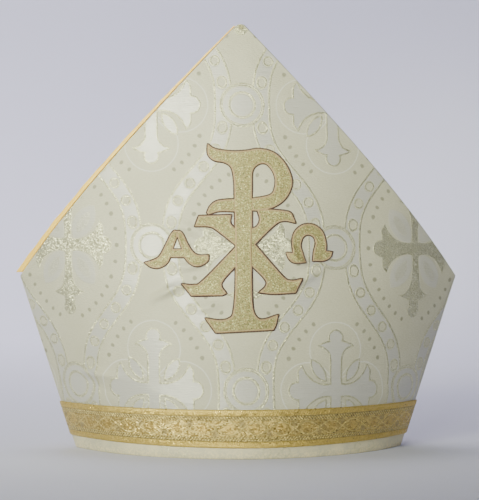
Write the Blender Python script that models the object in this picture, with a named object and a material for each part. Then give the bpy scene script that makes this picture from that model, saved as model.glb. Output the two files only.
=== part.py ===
"""A bishop's mitre in cream and gold brocade, standing on its rim.

Two stiff five-sided panels are bowed into a crown and seamed at the sides up to the corners. Above the
corners each runs up into a horn. A satin lining faces the horns on the inside and dips between them as a
valley from corner to corner, so the crown is a hollow open at the rim. A gold braid runs round the brow,
and a Chi and Rho with a small Alpha and Omega is sewn on the front.

Metres, +Z up. The rim stands on z = 0, the front faces -Y, and the origin is the middle of the rim.
"""

import math

import bpy
import numpy as np
from mathutils import Vector
from mathutils.geometry import delaunay_2d_cdt

# The crown, measured on the outside of the brocade.
RIM_HALF_WIDTH = 0.124
CORNER_HALF_WIDTH = 0.166
CORNER_HEIGHT = 0.1295
APEX_HEIGHT = 0.3175  # where the horn's two straight edges would meet
RIM_DEPTH = 0.073  # from the seam plane forward to the middle of the front
APEX_DEPTH = 0.036
HORN_FLATTENING = 0.2  # how much wider the horn's bow is at its tip than at the corners
TIP_RADIUS = 0.005

# The walls, and the gap that touching pieces keep.
PANEL_WALL = 0.0024
PANEL_EDGE_ROUND = 0.0005
LINING_WALL = 0.0010
CLEARANCE = 0.0003

# The lining between the horns.
LINING_TUCK = 0.0018  # how far inside the horns' edges it ends
LINING_TOP = 0.0015  # how far above the centre of the horns' rounded tips it ends
VALLEY_START = 0.0020  # height above the corners at which it leaves the panels, at the corners
VALLEY_RISE = 0.0160  # how much higher it leaves them in the middle
VALLEY_SAG = 0.62  # depth of the valley over half its width
VALLEY_END_HALF_WIDTH = 0.0012

# The turned edge of the satin, along the front horn's left edge.
EDGE_START_HEIGHT = 0.0027  # above the corner
EDGE_WIDTH_CORNER = 0.0045
EDGE_WIDTH_TIP = 0.0010
EDGE_THICKNESS = 0.0022
EDGE_THICKNESS_CORNER = 0.0010
EDGE_SINK = 0.0003  # its front lies this far below the brocade
EDGE_STATION_CROWDING = 1.3  # over 1: its stations lie closer near the corner
EDGE_BULGE = 0.25  # its rounding over its thickness

# The braid round the brow.
BAND_BOTTOM = 0.0094
BAND_HEIGHT = 0.0254
BAND_THICKNESS = 0.0009
BAND_EDGE_ROUND = 0.0003

# The sewn-on letters.
LETTER_THICKNESS = 0.0011
LETTER_FACET = 8.0  # millimetres between the upright lines on which a letter bends
OUTLINE_STEP = 4.5  # millimetres between points on an outline's curves

# How finely the sheets are divided, and the edges that are shaded sharp.
SHARP_ANGLE = 35.0  # degrees
TIP_ANGLES = (60.0, 75.0, 84.0)  # degrees up the horns' rounded tips at which the last rows lie
PANEL_COLUMNS = 24
LOWER_ROWS = 6  # from the braid to the corners
UPPER_ROWS = 11  # from the corners to the rounded tip
LINING_UPRIGHT_ROWS = 6
VALLEY_ROWS = 8
EDGE_STATIONS = 13

HORN_HEIGHT = APEX_HEIGHT - CORNER_HEIGHT
BAND_TOP = BAND_BOTTOM + BAND_HEIGHT
BAND_HEIGHTS = np.linspace(BAND_BOTTOM, BAND_TOP, 3)

# Outlines of the letters on the flat panel, in millimetres: across from the panel's middle, up from the
# rim, and whether the outline turns a corner there or runs smoothly through.
CORNER, SMOOTH = "corner", "smooth"
RHO_OUTLINE = (
    (-24.4, 226.2, CORNER), (-19.0, 222.6, SMOOTH), (-8.0, 220.9, SMOOTH), (3.0, 221.2, SMOOTH),
    (13.0, 222.6, SMOOTH), (24.0, 219.8, SMOOTH), (32.5, 211.5, SMOOTH), (37.1, 199.0, SMOOTH),
    (33.4, 188.0, SMOOTH), (25.0, 180.7, SMOOTH), (14.0, 177.6, SMOOTH), (7.7, 177.5, CORNER),
    (7.2, 128.0, SMOOTH), (7.9, 108.0, SMOOTH), (11.0, 100.5, SMOOTH), (16.0, 99.2, SMOOTH),
    (26.4, 102.4, CORNER), (24.6, 95.0, SMOOTH), (22.8, 91.4, CORNER), (-18.8, 89.4, CORNER),
    (-26.4, 100.0, CORNER), (-16.0, 98.6, SMOOTH), (-9.5, 99.9, SMOOTH), (-6.2, 105.0, SMOOTH),
    (-4.6, 128.0, SMOOTH), (-4.9, 176.8, CORNER), (-16.0, 176.9, SMOOTH), (-23.9, 174.6, CORNER),
    (-25.1, 175.9, CORNER), (-22.6, 181.0, SMOOTH), (-17.0, 184.8, SMOOTH), (-5.0, 185.9, CORNER),
    (-5.4, 199.0, SMOOTH), (-7.3, 208.5, SMOOTH), (-12.0, 212.3, SMOOTH), (-20.0, 214.1, SMOOTH),
    (-24.2, 218.5, SMOOTH),
)
RHO_COUNTER = (
    (7.6, 186.2, CORNER), (7.8, 196.0, SMOOTH), (8.2, 206.0, SMOOTH), (12.2, 211.0, SMOOTH),
    (18.2, 211.4, SMOOTH), (23.6, 204.5, SMOOTH), (24.5, 196.0, SMOOTH), (21.0, 189.2, SMOOTH),
)
CHI_OUTLINE = (
    (-31.0, 173.7, CORNER), (-7.2, 174.4, CORNER), (-7.9, 168.6, SMOOTH), (-4.0, 164.0, CORNER),
    (5.5, 164.0, CORNER), (10.8, 166.0, SMOOTH), (13.1, 171.2, SMOOTH), (11.0, 178.6, CORNER),
    (19.0, 178.6, CORNER), (34.2, 176.8, SMOOTH), (37.6, 173.0, SMOOTH), (39.5, 168.4, CORNER),
    (31.0, 169.9, SMOOTH), (24.0, 166.8, SMOOTH), (9.8, 153.0, CORNER), (29.6, 130.4, SMOOTH),
    (36.0, 126.9, SMOOTH), (43.8, 128.2, CORNER), (39.3, 118.0, CORNER), (24.0, 117.1, SMOOTH),
    (12.0, 118.3, CORNER), (17.0, 122.8, SMOOTH), (16.4, 128.0, SMOOTH), (5.0, 139.5, CORNER),
    (-2.8, 138.6, CORNER), (-12.6, 127.8, SMOOTH), (-14.4, 122.8, SMOOTH), (-10.8, 117.7, CORNER),
    (-14.0, 116.2, CORNER), (-36.4, 115.8, CORNER), (-43.4, 124.6, CORNER), (-35.0, 123.9, SMOOTH),
    (-28.0, 127.2, SMOOTH), (-3.8, 151.8, CORNER), (-17.0, 162.2, SMOOTH), (-23.0, 165.6, SMOOTH),
    (-33.9, 166.0, CORNER),
)
ALPHA_OUTLINE = (
    (-50.4, 161.9, SMOOTH), (-47.0, 162.7, SMOOTH), (-43.4, 161.8, SMOOTH), (-38.7, 152.8, SMOOTH),
    (-35.2, 147.8, SMOOTH), (-31.0, 145.3, SMOOTH), (-23.8, 145.5, CORNER), (-24.2, 141.0, SMOOTH),
    (-28.8, 137.7, SMOOTH), (-33.5, 137.2, SMOOTH), (-38.3, 139.8, SMOOTH), (-41.6, 143.6, CORNER),
    (-51.6, 143.6, CORNER), (-54.2, 139.0, SMOOTH), (-60.0, 135.8, SMOOTH), (-66.0, 136.4, SMOOTH),
    (-71.0, 139.8, CORNER), (-65.0, 141.6, SMOOTH), (-60.5, 143.9, SMOOTH), (-57.4, 148.6, SMOOTH),
)
ALPHA_COUNTER = ((-49.8, 149.6, CORNER), (-46.6, 158.6, CORNER), (-43.4, 149.6, CORNER))
OMEGA_OUTLINE = (
    (32.2, 147.0, CORNER), (36.8, 146.8, CORNER), (36.5, 155.0, SMOOTH), (38.6, 162.2, SMOOTH),
    (43.5, 166.7, SMOOTH), (49.0, 168.0, SMOOTH), (55.0, 166.5, SMOOTH), (60.0, 161.8, SMOOTH),
    (62.4, 154.0, SMOOTH), (62.3, 148.2, CORNER), (67.3, 147.6, CORNER), (65.4, 143.4, SMOOTH),
    (60.5, 141.0, SMOOTH), (52.0, 140.9, CORNER), (52.8, 148.0, SMOOTH), (54.2, 153.5, SMOOTH),
    (52.6, 158.3, SMOOTH), (48.4, 159.9, SMOOTH), (44.9, 157.8, SMOOTH), (43.2, 152.2, SMOOTH),
    (44.6, 147.0, SMOOTH), (46.6, 139.8, CORNER), (38.2, 139.5, SMOOTH), (34.2, 142.3, SMOOTH),
)


# ---------------------------------------------------------------- the bowed panel


def front_depth(z):
    """Distance of the front's middle line from the seam plane: it leans in evenly towards the apex."""
    return RIM_DEPTH + (APEX_DEPTH - RIM_DEPTH) * np.asarray(z, float) / APEX_HEIGHT


def seam_half_width(z):
    """Half the crown's width at the side seams, which are straight from the rim to the corners."""
    return RIM_HALF_WIDTH + (CORNER_HALF_WIDTH - RIM_HALF_WIDTH) * np.minimum(z / CORNER_HEIGHT, 1.0)


def chord_arc(half_width, depth):
    """Radius and half angle of the arc with this half chord and this height over its chord."""
    radius = (half_width**2 + depth**2) / (2.0 * depth)
    return radius, 2.0 * np.arctan2(depth, half_width)


CORNER_RADIUS, CORNER_ANGLE = chord_arc(CORNER_HALF_WIDTH, front_depth(CORNER_HEIGHT))
CORNER_LENGTH = CORNER_RADIUS * CORNER_ANGLE
EDGE_SLOPE = CORNER_LENGTH / HORN_HEIGHT
EDGE_STRETCH = math.hypot(1.0, EDGE_SLOPE)
APEX_HALF_ANGLE = math.atan(EDGE_SLOPE)
TIP_CENTRE_HEIGHT = APEX_HEIGHT - TIP_RADIUS / math.sin(APEX_HALF_ANGLE)


def bow_radius(z):
    """Radius of the panel's level section: the arc through both seams, then slowly flatter."""
    z = np.asarray(z, float)
    radius, _ = chord_arc(seam_half_width(z), front_depth(z))
    up_the_horn = np.clip((z - CORNER_HEIGHT) / HORN_HEIGHT, 0.0, None)
    return np.where(z <= CORNER_HEIGHT, radius, CORNER_RADIUS * (1.0 + HORN_FLATTENING * up_the_horn))


def wrap(across, z, sink=0.0):
    """Bend the flat panel round the crown: 'across' is length along the level arc, 'sink' is depth below
    the brocade's face, and the arc's middle lies front_depth in front of the seam plane."""
    radius = bow_radius(z)
    angle = across / radius
    x = (radius - sink) * np.sin(angle)
    y = radius - front_depth(z) - (radius - sink) * np.cos(angle)
    return np.stack([x, y, z + 0.0 * angle], axis=-1)


def seam_length(z, sink, gap):
    """Length along the arc at which the layer 'sink' below the face comes within 'gap' of the seams."""
    radius = bow_radius(z)
    cosine = (radius - front_depth(z) + gap) / (radius - sink)
    return radius * np.arccos(np.clip(cosine, -1.0, 1.0))


def horn_length(z, inset=0.0):
    """Half the flat horn's width at this height, with its straight edges moved in by 'inset'."""
    return CORNER_LENGTH - EDGE_SLOPE * (z - CORNER_HEIGHT) - inset * EDGE_STRETCH


# ---------------------------------------------------------------- meshes and materials


def make_object(name, points, faces, material):
    """Link a new object with this mesh and material, its faces shaded smooth up to sharp edges."""
    mesh = bpy.data.meshes.new(name)
    mesh.from_pydata([tuple(point) for point in points], [], [tuple(face) for face in faces])
    mesh.update()
    mesh.shade_smooth()
    mesh.set_sharp_from_angle(angle=math.radians(SHARP_ANGLE))
    mesh.materials.append(material)
    piece = bpy.data.objects.new(name, mesh)
    bpy.context.collection.objects.link(piece)
    return piece


def make_material(name, colour, roughness, metallic=0.0):
    """A plain Principled finish."""
    material = bpy.data.materials.new(name)
    material.use_nodes = True
    shader = material.node_tree.nodes["Principled BSDF"]
    shader.inputs["Base Color"].default_value = (*colour, 1.0)
    shader.inputs["Roughness"].default_value = roughness
    shader.inputs["Metallic"].default_value = metallic
    return material


def split_quads(points, quads):
    """Cut each four-sided face along the shorter of its diagonals, so that the wall bends evenly."""
    first, second, third, fourth = (points[quads[:, k]] for k in range(4))
    across = np.linalg.norm(third - first, axis=1) <= np.linalg.norm(fourth - second, axis=1)
    halves = (
        np.where(across[:, None], quads[:, [0, 1, 2]], quads[:, [1, 2, 3]]),
        np.where(across[:, None], quads[:, [0, 2, 3]], quads[:, [1, 3, 0]]),
    )
    return np.concatenate(halves)


def closed_sheet(layers):
    """Join layers of one sheet, given as grids of points from its face to its back, into a closed wall.
    Only the first and last grid are covered with faces, and the edges of the others round its rim."""
    rows, columns = layers[0].shape[:2]
    index = np.arange(rows * columns).reshape(rows, columns)
    loop = np.concatenate([index[0, :-1], index[:-1, -1], index[-1, :0:-1], index[:0:-1, 0]])
    flat = [layer.reshape(-1, 3) for layer in layers]
    corners = [index[:-1, :-1], index[:-1, 1:], index[1:, 1:], index[1:, :-1]]
    quads = np.stack(corners, axis=-1).reshape(-1, 4)
    face = split_quads(flat[0], quads)
    back = split_quads(flat[-1], quads)[:, ::-1] + index.size
    faces = [*face.tolist(), *back.tolist()]
    between = [2 * index.size + k * loop.size + np.arange(loop.size) for k in range(len(layers) - 2)]
    rims = [loop, *between, loop + index.size]
    for near, far in zip(rims[:-1], rims[1:]):
        faces.extend(np.stack([near, far, np.roll(far, -1), np.roll(near, -1)], axis=-1).tolist())
    points = [flat[0], flat[-1]] + [layer[loop] for layer in flat[1:-1]]
    return np.concatenate(points), faces


def closed_ring(rings):
    """Skin a stack of closed rings of points, each the next point of the profile, into a hoop."""
    count, around = rings.shape[:2]
    index = np.arange(count * around).reshape(count, around)
    after = np.roll(index, -1, axis=0)
    quads = [index, np.roll(index, -1, axis=1), np.roll(after, -1, axis=1), after]
    return rings.reshape(-1, 3), np.stack(quads, axis=-1).reshape(-1, 4)


def half_turn(points):
    """The same points turned half way round the crown's upright axis."""
    return points * np.array([-1.0, -1.0, 1.0])


# ---------------------------------------------------------------- panels


def panel_rows(inset):
    """Heights of a panel layer's rows and, above the corners, half its flat width there: straight edges
    up to where the rounded tip begins, then round it. The braid's heights are rows too, so that it lies
    evenly on the panel."""
    tip_radius = TIP_RADIUS - inset
    tip_angles = np.radians(TIP_ANGLES)
    tangent_height = TIP_CENTRE_HEIGHT + tip_radius * math.sin(APEX_HALF_ANGLE)
    lower = np.concatenate([[inset], BAND_HEIGHTS, np.linspace(BAND_TOP, CORNER_HEIGHT, LOWER_ROWS + 1)[1:]])
    upper = np.linspace(CORNER_HEIGHT, tangent_height, UPPER_ROWS + 1)[1:]
    tip = TIP_CENTRE_HEIGHT + tip_radius * np.sin(tip_angles)
    heights = np.concatenate([lower, upper, tip])
    widths = horn_length(heights, inset)
    widths[-len(tip):] = tip_radius * np.cos(tip_angles)
    return heights, widths


def panel_layer(sink, inset):
    """One layer of the front panel as a grid of points: it stops at the seam plane up to the corners and
    at the horn's edge above them."""
    heights, widths = panel_rows(inset)
    seams = seam_length(heights, sink, CLEARANCE / 2.0)
    half = np.minimum(seams, np.where(heights < CORNER_HEIGHT, np.inf, widths))
    fraction = np.linspace(-1.0, 1.0, PANEL_COLUMNS + 1)
    return wrap(half[:, None] * fraction[None, :], heights[:, None], sink)


def make_panels(material):
    """Front and back panel: walls with rounded edges, the back one mirrored across the seam plane."""
    layers = [
        panel_layer(0.0, PANEL_EDGE_ROUND),
        panel_layer(PANEL_EDGE_ROUND, 0.0),
        panel_layer(PANEL_WALL - PANEL_EDGE_ROUND, 0.0),
        panel_layer(PANEL_WALL, PANEL_EDGE_ROUND),
    ]
    points, faces = closed_sheet(layers)
    make_object("front_panel", points, faces, material)
    mirrored = points * np.array([1.0, -1.0, 1.0])
    make_object("back_panel", mirrored, [face[::-1] for face in faces], material)


# ---------------------------------------------------------------- lining


def lining_half_length(z):
    """Half the lining's flat width at this height: tucked in from the horn's edge, and clear of the other
    horn's lining at the corners."""
    face_sink = PANEL_WALL + CLEARANCE + LINING_WALL
    tucked = horn_length(z, LINING_TUCK)
    return np.minimum(tucked, seam_length(z, face_sink, VALLEY_END_HALF_WIDTH))


def lining_layer(sink):
    """One layer of the horn lining as a grid from the front horn's tip to the back horn's. It runs down
    behind the front horn, spreading to the corners, crosses the cleft in half an ellipse whose depth is
    VALLEY_SAG times its half width, and runs up behind the back horn."""
    fraction = np.linspace(-1.0, 1.0, PANEL_COLUMNS + 1)
    top = TIP_CENTRE_HEIGHT + LINING_TOP
    leave = CORNER_HEIGHT + VALLEY_START + VALLEY_RISE * (1.0 - fraction**2)
    down = np.linspace(0.0, 1.0, LINING_UPRIGHT_ROWS + 1)[:, None]
    heights = top + (leave - top) * down
    front = wrap(fraction * lining_half_length(heights), heights, sink)
    start = front[-1]
    face = wrap(fraction * lining_half_length(leave), leave, PANEL_WALL + CLEARANCE + LINING_WALL)
    sag = -VALLEY_SAG * face[:, 1] + (PANEL_WALL + CLEARANCE + LINING_WALL - sink)
    turn = np.linspace(0.0, math.pi, VALLEY_ROWS + 1)[1:-1, None]
    x = start[:, 0] + 0.0 * turn
    valley = np.stack([x, start[:, 1] * np.cos(turn), leave - sag * np.sin(turn)], axis=-1)
    back = front[::-1] * np.array([1.0, -1.0, 1.0])
    return np.concatenate([front, valley, back])


def make_lining(material):
    """The satin between the horns: its hidden side lies on the panels, its face shows in the cleft."""
    hidden = lining_layer(PANEL_WALL + CLEARANCE)
    shown = lining_layer(PANEL_WALL + CLEARANCE + LINING_WALL)
    points, faces = closed_sheet([hidden[::-1], shown[::-1]])
    make_object("horn_lining", points, faces, material)


def make_lining_edge(material):
    """The turned edge of the satin along the front horn's left edge: a flat bar beside the brocade, wide
    and cut square at the corner, narrow at the tip, and thin at the corner where the panels meet."""
    start = CORNER_HEIGHT + EDGE_START_HEIGHT
    end = TIP_CENTRE_HEIGHT + TIP_RADIUS * math.sin(APEX_HALF_ANGLE)
    heights = start + (end - start) * np.linspace(0.0, 1.0, EDGE_STATIONS) ** EDGE_STATION_CROWDING
    share = (heights - start) / (end - start)
    width = EDGE_WIDTH_CORNER + (EDGE_WIDTH_TIP - EDGE_WIDTH_CORNER) * share
    edge = horn_length(heights)
    room = (-CLEARANCE / 2.0 - wrap(edge, heights)[:, 1]) / np.cos(edge / bow_radius(heights))
    back = np.clip(room, EDGE_THICKNESS_CORNER, EDGE_SINK + EDGE_THICKNESS)
    front = np.minimum(EDGE_SINK, back - EDGE_THICKNESS_CORNER)
    inner = (edge + CLEARANCE * EDGE_STRETCH)[:, None]
    outer = inner + (width * EDGE_STRETCH)[:, None]
    middle = (inner + outer) / 2.0
    bulge = EDGE_BULGE * (back - front)[:, None]
    front, back, level = front[:, None], back[:, None], heights[:, None]
    ring = (
        (inner, front), (middle, front - bulge), (outer, front + bulge),
        (outer, back - bulge), (inner, back),
    )
    section = [wrap(-across, level, sink)[:, 0] for across, sink in ring]
    rings = np.stack(section, axis=1)
    count, around = rings.shape[:2]
    index = np.arange(count * around).reshape(count, around)
    quads = [index[:-1], np.roll(index[:-1], -1, 1), np.roll(index[1:], -1, 1), index[1:]]
    faces = [tuple(quad) for quad in np.stack(quads, axis=-1).reshape(-1, 4)]
    faces.append(tuple(index[0][::-1]))
    faces.append(tuple(index[-1]))
    make_object("lining_edge", rings.reshape(-1, 3), [face[::-1] for face in faces], material)


# ---------------------------------------------------------------- braid


def band_ring(z, stand_off):
    """A closed ring round both panels at this height, this far outside the brocade: it bends on the
    panels' own columns and closes on the seam plane."""
    across = seam_length(z, 0.0, CLEARANCE / 2.0) * np.linspace(-1.0, 1.0, PANEL_COLUMNS + 1)[:-1]
    across[0] = -seam_length(z, -stand_off, 0.0)
    front = wrap(across, np.full_like(across, z), -stand_off)
    return np.concatenate([front, half_turn(front)])


def make_band(material):
    """The braid: a hoop whose section is a thin strip with eased edges."""
    bottom, middle, top = BAND_HEIGHTS
    inside, outside = CLEARANCE, CLEARANCE + BAND_THICKNESS
    profile = (
        (bottom, inside), (bottom, outside - BAND_EDGE_ROUND), (bottom + BAND_EDGE_ROUND, outside),
        (middle, outside), (top - BAND_EDGE_ROUND, outside), (top, outside - BAND_EDGE_ROUND),
        (top, inside), (middle, inside),
    )
    rings = np.stack([band_ring(z, stand_off) for z, stand_off in profile])
    points, faces = closed_ring(rings)
    make_object("galloon_band", points, faces, material)


# ---------------------------------------------------------------- letters


def outline_points(rows):
    """Points along a closed outline: straight or curved stretches between its corners. A span is a
    cubic whose slope at a smooth point is half the step between that point's neighbours."""
    places = np.array([row[:2] for row in rows], float)
    smooth = np.array([row[2] == SMOOTH for row in rows])
    before, after = np.roll(places, 1, axis=0), np.roll(places, -1, axis=0)
    slopes = np.where(smooth[:, None], (after - before) / 2.0, after - places)
    end_slopes = np.where(smooth[:, None], (after - before) / 2.0, places - before)
    points = []
    for k, start in enumerate(places):
        end, slope_out = after[k], slopes[k]
        slope_in = end_slopes[(k + 1) % len(rows)]
        straight = not smooth[k] and not smooth[(k + 1) % len(rows)]
        steps = 1 if straight else max(1, round(float(np.linalg.norm(end - start)) / OUTLINE_STEP))
        t = (np.arange(steps) / steps)[:, None]
        points.append(
            start * (2 * t**3 - 3 * t**2 + 1) + slope_out * (t**3 - 2 * t**2 + t)
            + end * (3 * t**2 - 2 * t**3) + slope_in * (t**3 - t**2)
        )
    return np.concatenate(points)


def inside(points, outline):
    """Whether each point lies inside a closed outline: a ray from it crosses it an odd number of times."""
    x, y = points[:, 0, None], points[:, 1, None]
    x0, y0 = outline.T
    x1, y1 = np.roll(outline, -1, axis=0).T
    rising = np.where(y1 == y0, 1.0, y1 - y0)
    crosses = ((y0 > y) != (y1 > y)) & (x < (x1 - x0) * (y - y0) / rising + x0)
    return crosses.sum(axis=1) % 2 == 1


def triangulate(shapes, counters):
    """Triangles that fill the union of the shapes less the counters, cut along upright lines so that
    they can bend with the panel. Returns flat points in millimetres and triangles."""
    loops = [outline_points(rows) for rows in (*shapes, *counters)]
    points, edges = [], []
    for loop in loops:
        first = len(points)
        points.extend(Vector(point) for point in loop)
        edges.extend((first + k, first + (k + 1) % len(loop)) for k in range(len(loop)))
    everything = np.concatenate(loops)
    low, high = everything.min(axis=0), everything.max(axis=0)
    for line in np.arange(math.ceil(low[0] / LETTER_FACET), high[0] / LETTER_FACET):
        edges.append((len(points), len(points) + 1))
        points.append(Vector((line * LETTER_FACET, low[1] - 1.0)))
        points.append(Vector((line * LETTER_FACET, high[1] + 1.0)))
    flat, _, triangles, *_ = delaunay_2d_cdt(points, edges, [], 0, 1e-4)
    flat, triangles = np.array([tuple(point) for point in flat]), np.array(triangles)
    middles = flat[triangles].mean(axis=1)
    filled = np.zeros(len(triangles), bool)
    for loop in loops[: len(shapes)]:
        filled |= inside(middles, loop)
    for loop in loops[len(shapes):]:
        filled &= ~inside(middles, loop)
    return flat, triangles[filled]


def make_letter(name, shapes, counters, material):
    """A sewn-on letter: its outline filled, given its thickness and laid on the bowed panel."""
    flat, triangles = triangulate(shapes, counters)
    used, triangles = np.unique(triangles, return_inverse=True)
    flat, triangles = flat[used] * 0.001, triangles.reshape(-1, 3)
    back = wrap(flat[:, 0], flat[:, 1], -CLEARANCE)
    face = wrap(flat[:, 0], flat[:, 1], -CLEARANCE - LETTER_THICKNESS)
    count = len(flat)
    sides = {tuple(edge) for edge in np.concatenate([triangles[:, [0, 1]], triangles[:, [1, 2]],
                                                     triangles[:, [2, 0]]]).tolist()}
    border = [(a, b) for a, b in sides if (b, a) not in sides]
    walls = [(a, b, b + count, a + count) for a, b in sorted(border)]
    faces = [*(triangles + count).tolist(), *triangles[:, ::-1].tolist(), *walls]
    make_object(name, np.concatenate([back, face]), faces, material)


def make_letters(material):
    """The Chi and Rho as one applique, and the small letters at its sides."""
    make_letter("chi_rho", (RHO_OUTLINE, CHI_OUTLINE), (RHO_COUNTER,), material)
    make_letter("alpha", (ALPHA_OUTLINE,), (ALPHA_COUNTER,), material)
    make_letter("omega", (OMEGA_OUTLINE,), (), material)


def main():
    """Clear the scene and build the mitre."""
    for leftover in list(bpy.data.objects):
        bpy.data.objects.remove(leftover)
    make_panels(make_material("brocade", (0.62, 0.61, 0.54), 0.55))
    make_lining(make_material("lining_satin", (0.79, 0.46, 0.16), 0.40))
    make_lining_edge(make_material("lining_edge_satin", (0.79, 0.46, 0.16), 0.40))
    make_band(make_material("gold_braid", (0.55, 0.38, 0.11), 0.40, 0.6))
    make_letters(make_material("gold_embroidery", (0.45, 0.38, 0.16), 0.50, 0.5))


main()
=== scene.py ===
# %% [markdown]
# # A bishop's mitre in cream and gold brocade
# The mitre stands on its rim. Two stiff five-sided panels are bowed into a crown and seamed at the sides,
# and each runs up into a horn. Between the horns lies a gold-orange satin. A woven gold braid goes round
# the brow, and a Chi and Rho with a small Alpha and Omega is embroidered on the front. This notebook loads
# the solids of the part and dresses each of them: it works out a finer surface in the same place, and
# gives it cloth, thread and light.

# %% Load the part
import math

import bpy
import numpy as np
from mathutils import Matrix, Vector
from mathutils.geometry import delaunay_2d_cdt


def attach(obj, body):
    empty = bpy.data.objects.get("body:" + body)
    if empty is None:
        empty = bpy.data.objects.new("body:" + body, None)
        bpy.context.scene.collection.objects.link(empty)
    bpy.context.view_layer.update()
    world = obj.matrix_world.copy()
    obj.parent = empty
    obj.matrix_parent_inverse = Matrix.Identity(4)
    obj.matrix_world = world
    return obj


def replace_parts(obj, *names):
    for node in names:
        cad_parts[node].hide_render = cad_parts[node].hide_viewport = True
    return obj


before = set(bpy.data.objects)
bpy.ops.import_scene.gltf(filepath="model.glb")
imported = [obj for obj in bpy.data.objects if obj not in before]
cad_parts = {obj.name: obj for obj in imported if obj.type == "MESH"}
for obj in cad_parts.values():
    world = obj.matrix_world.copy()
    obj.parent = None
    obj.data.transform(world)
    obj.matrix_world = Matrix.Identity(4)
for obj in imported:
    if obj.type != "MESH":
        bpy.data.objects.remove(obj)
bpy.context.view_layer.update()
MM = 0.001

# %% [markdown]
# ## The bowed panel
# Every visible piece lies on the same bowed panel, so its shape comes first, as a few formulas. A panel is
# cut flat and bent round the head, and the side seams force its level sections into arcs. A point of the
# cloth is given by how far across and how high it lies on the flat panel, and one function bends it round
# the crown. The other way would be to model a bent mesh by hand, but then the braid, the letters and the
# pattern would each have to be fitted to it.

# %% The crown's measures and formulas
RIM_HALF_WIDTH, CORNER_HALF_WIDTH = 0.124, 0.166
CORNER_HEIGHT, APEX_HEIGHT = 0.1295, 0.3175
RIM_DEPTH, APEX_DEPTH = 0.073, 0.036
HORN_FLATTENING, TIP_RADIUS = 0.2, 0.005
HORN_HEIGHT = APEX_HEIGHT - CORNER_HEIGHT
PANEL_WALL, LINING_WALL, GAP = 0.0024, 0.0010, 0.0003
BAND_BOTTOM, BAND_TOP = 0.0094, 0.0348


def triples(*numbers):
    """Three arrays, each spread over the rows and columns of the others, as one array of triples."""
    return np.stack(np.broadcast_arrays(*numbers), axis=-1)


def unit(ways):
    """Each of these directions divided by its length."""
    return ways / np.linalg.norm(ways, axis=-1, keepdims=True)


def front_depth(z):
    """Distance of the front's middle line from the seam plane: it falls evenly from rim to apex."""
    return RIM_DEPTH + (APEX_DEPTH - RIM_DEPTH) * np.asarray(z, float) / APEX_HEIGHT


def chord_arc(half_width, depth):
    """Radius (w*w + d*d) / 2d and half angle 2 atan(d / w) of the arc over the half chord w, d high."""
    return (half_width**2 + depth**2) / (2.0 * depth), 2.0 * np.arctan2(depth, half_width)


CORNER_RADIUS, CORNER_ANGLE = chord_arc(CORNER_HALF_WIDTH, front_depth(CORNER_HEIGHT))
CORNER_LENGTH = CORNER_RADIUS * CORNER_ANGLE
EDGE_SLOPE = CORNER_LENGTH / HORN_HEIGHT
EDGE_STRETCH = math.hypot(1.0, EDGE_SLOPE)
APEX_HALF_ANGLE = math.atan(EDGE_SLOPE)
TIP_CENTRE_HEIGHT = APEX_HEIGHT - TIP_RADIUS / math.sin(APEX_HALF_ANGLE)


def seam_half_width(z):
    """Half the crown's width at the side seams, straight from the rim to the corners."""
    return RIM_HALF_WIDTH + (CORNER_HALF_WIDTH - RIM_HALF_WIDTH) * np.minimum(z / CORNER_HEIGHT, 1.0)


def bow_radius(z):
    """Radius of the level section: the arc through both seams, and above the corners slowly flatter."""
    z = np.asarray(z, float)
    radius, _ = chord_arc(seam_half_width(z), front_depth(z))
    up = np.clip((z - CORNER_HEIGHT) / HORN_HEIGHT, 0.0, None)
    return np.where(z <= CORNER_HEIGHT, radius, CORNER_RADIUS * (1.0 + HORN_FLATTENING * up))


def wrap(across, z, sink=0.0):
    """Bend the flat cloth round the crown: the angle is 'across' over the bow's radius, x is the sine and
    y the cosine of it times the radius less 'sink', set back so that the middle lies front_depth forward."""
    radius = bow_radius(z)
    angle = across / radius
    x = (radius - sink) * np.sin(angle)
    y = radius - front_depth(z) - (radius - sink) * np.cos(angle)
    return triples(x, y, z)


def seam_length(z, sink, gap):
    """Length along the arc at which the layer 'sink' below the face comes within 'gap' of the seams."""
    radius = bow_radius(z)
    cosine = (radius - front_depth(z) + gap) / (radius - sink)
    return radius * np.arccos(np.clip(cosine, -1.0, 1.0))


def horn_length(z, inset=0.0):
    """Half the flat horn's width at this height, its straight edges moved in by 'inset'."""
    return CORNER_LENGTH - EDGE_SLOPE * (z - CORNER_HEIGHT) - inset * EDGE_STRETCH


print("flat half width at the corners:", round(float(CORNER_LENGTH) / MM, 1), "mm")

# %% [markdown]
# ## How the cloth lies
# Brocade over a stiffener isn't quite even. It bulges a little where the braid's stitches pull it in, it
# puckers beside the dense embroidery, and the side seams draw it in. These are low forms, under four
# millimetres, and one function gives them all, so braid and letters follow the cloth below them. No valley
# is as deep as the panel's wall is thick.

# %% The low relief of the cloth
# across, up, direction of the fold in degrees, its length, its width, its height: millimetres
PUCKERS_ON_BOTH = (
    (-112.0, 58.0, -5.0, 17.0, 3.6, 3.0), (-110.0, 48.0, -16.0, 15.0, 3.4, -1.0),
    (-62.0, 46.0, -8.0, 16.0, 5.0, 0.6),
)
PUCKERS_ON_FRONT = (
    (-36.0, 164.0, -24.0, 12.0, 2.8, 2.0), (-40.0, 157.5, -24.0, 12.0, 2.6, -1.8),
    (-54.0, 119.0, 28.0, 11.0, 2.6, 3.6), (-24.0, 108.0, 14.0, 9.0, 2.8, 1.8),
    (36.0, 150.0, -60.0, 12.0, 3.0, 1.9), (46.0, 128.0, 30.0, 14.0, 3.2, 2.4),
    (-37.0, 137.0, 8.0, 10.0, 2.4, 2.4), (42.0, 141.0, -14.0, 9.0, 2.4, 2.4),
    (20.0, 84.0, 10.0, 20.0, 5.0, 0.8), (70.0, 44.0, 2.0, 30.0, 5.0, 0.8), (120.0, 43.0, 6.0, 20.0, 5.0, 1.0),
)
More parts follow.
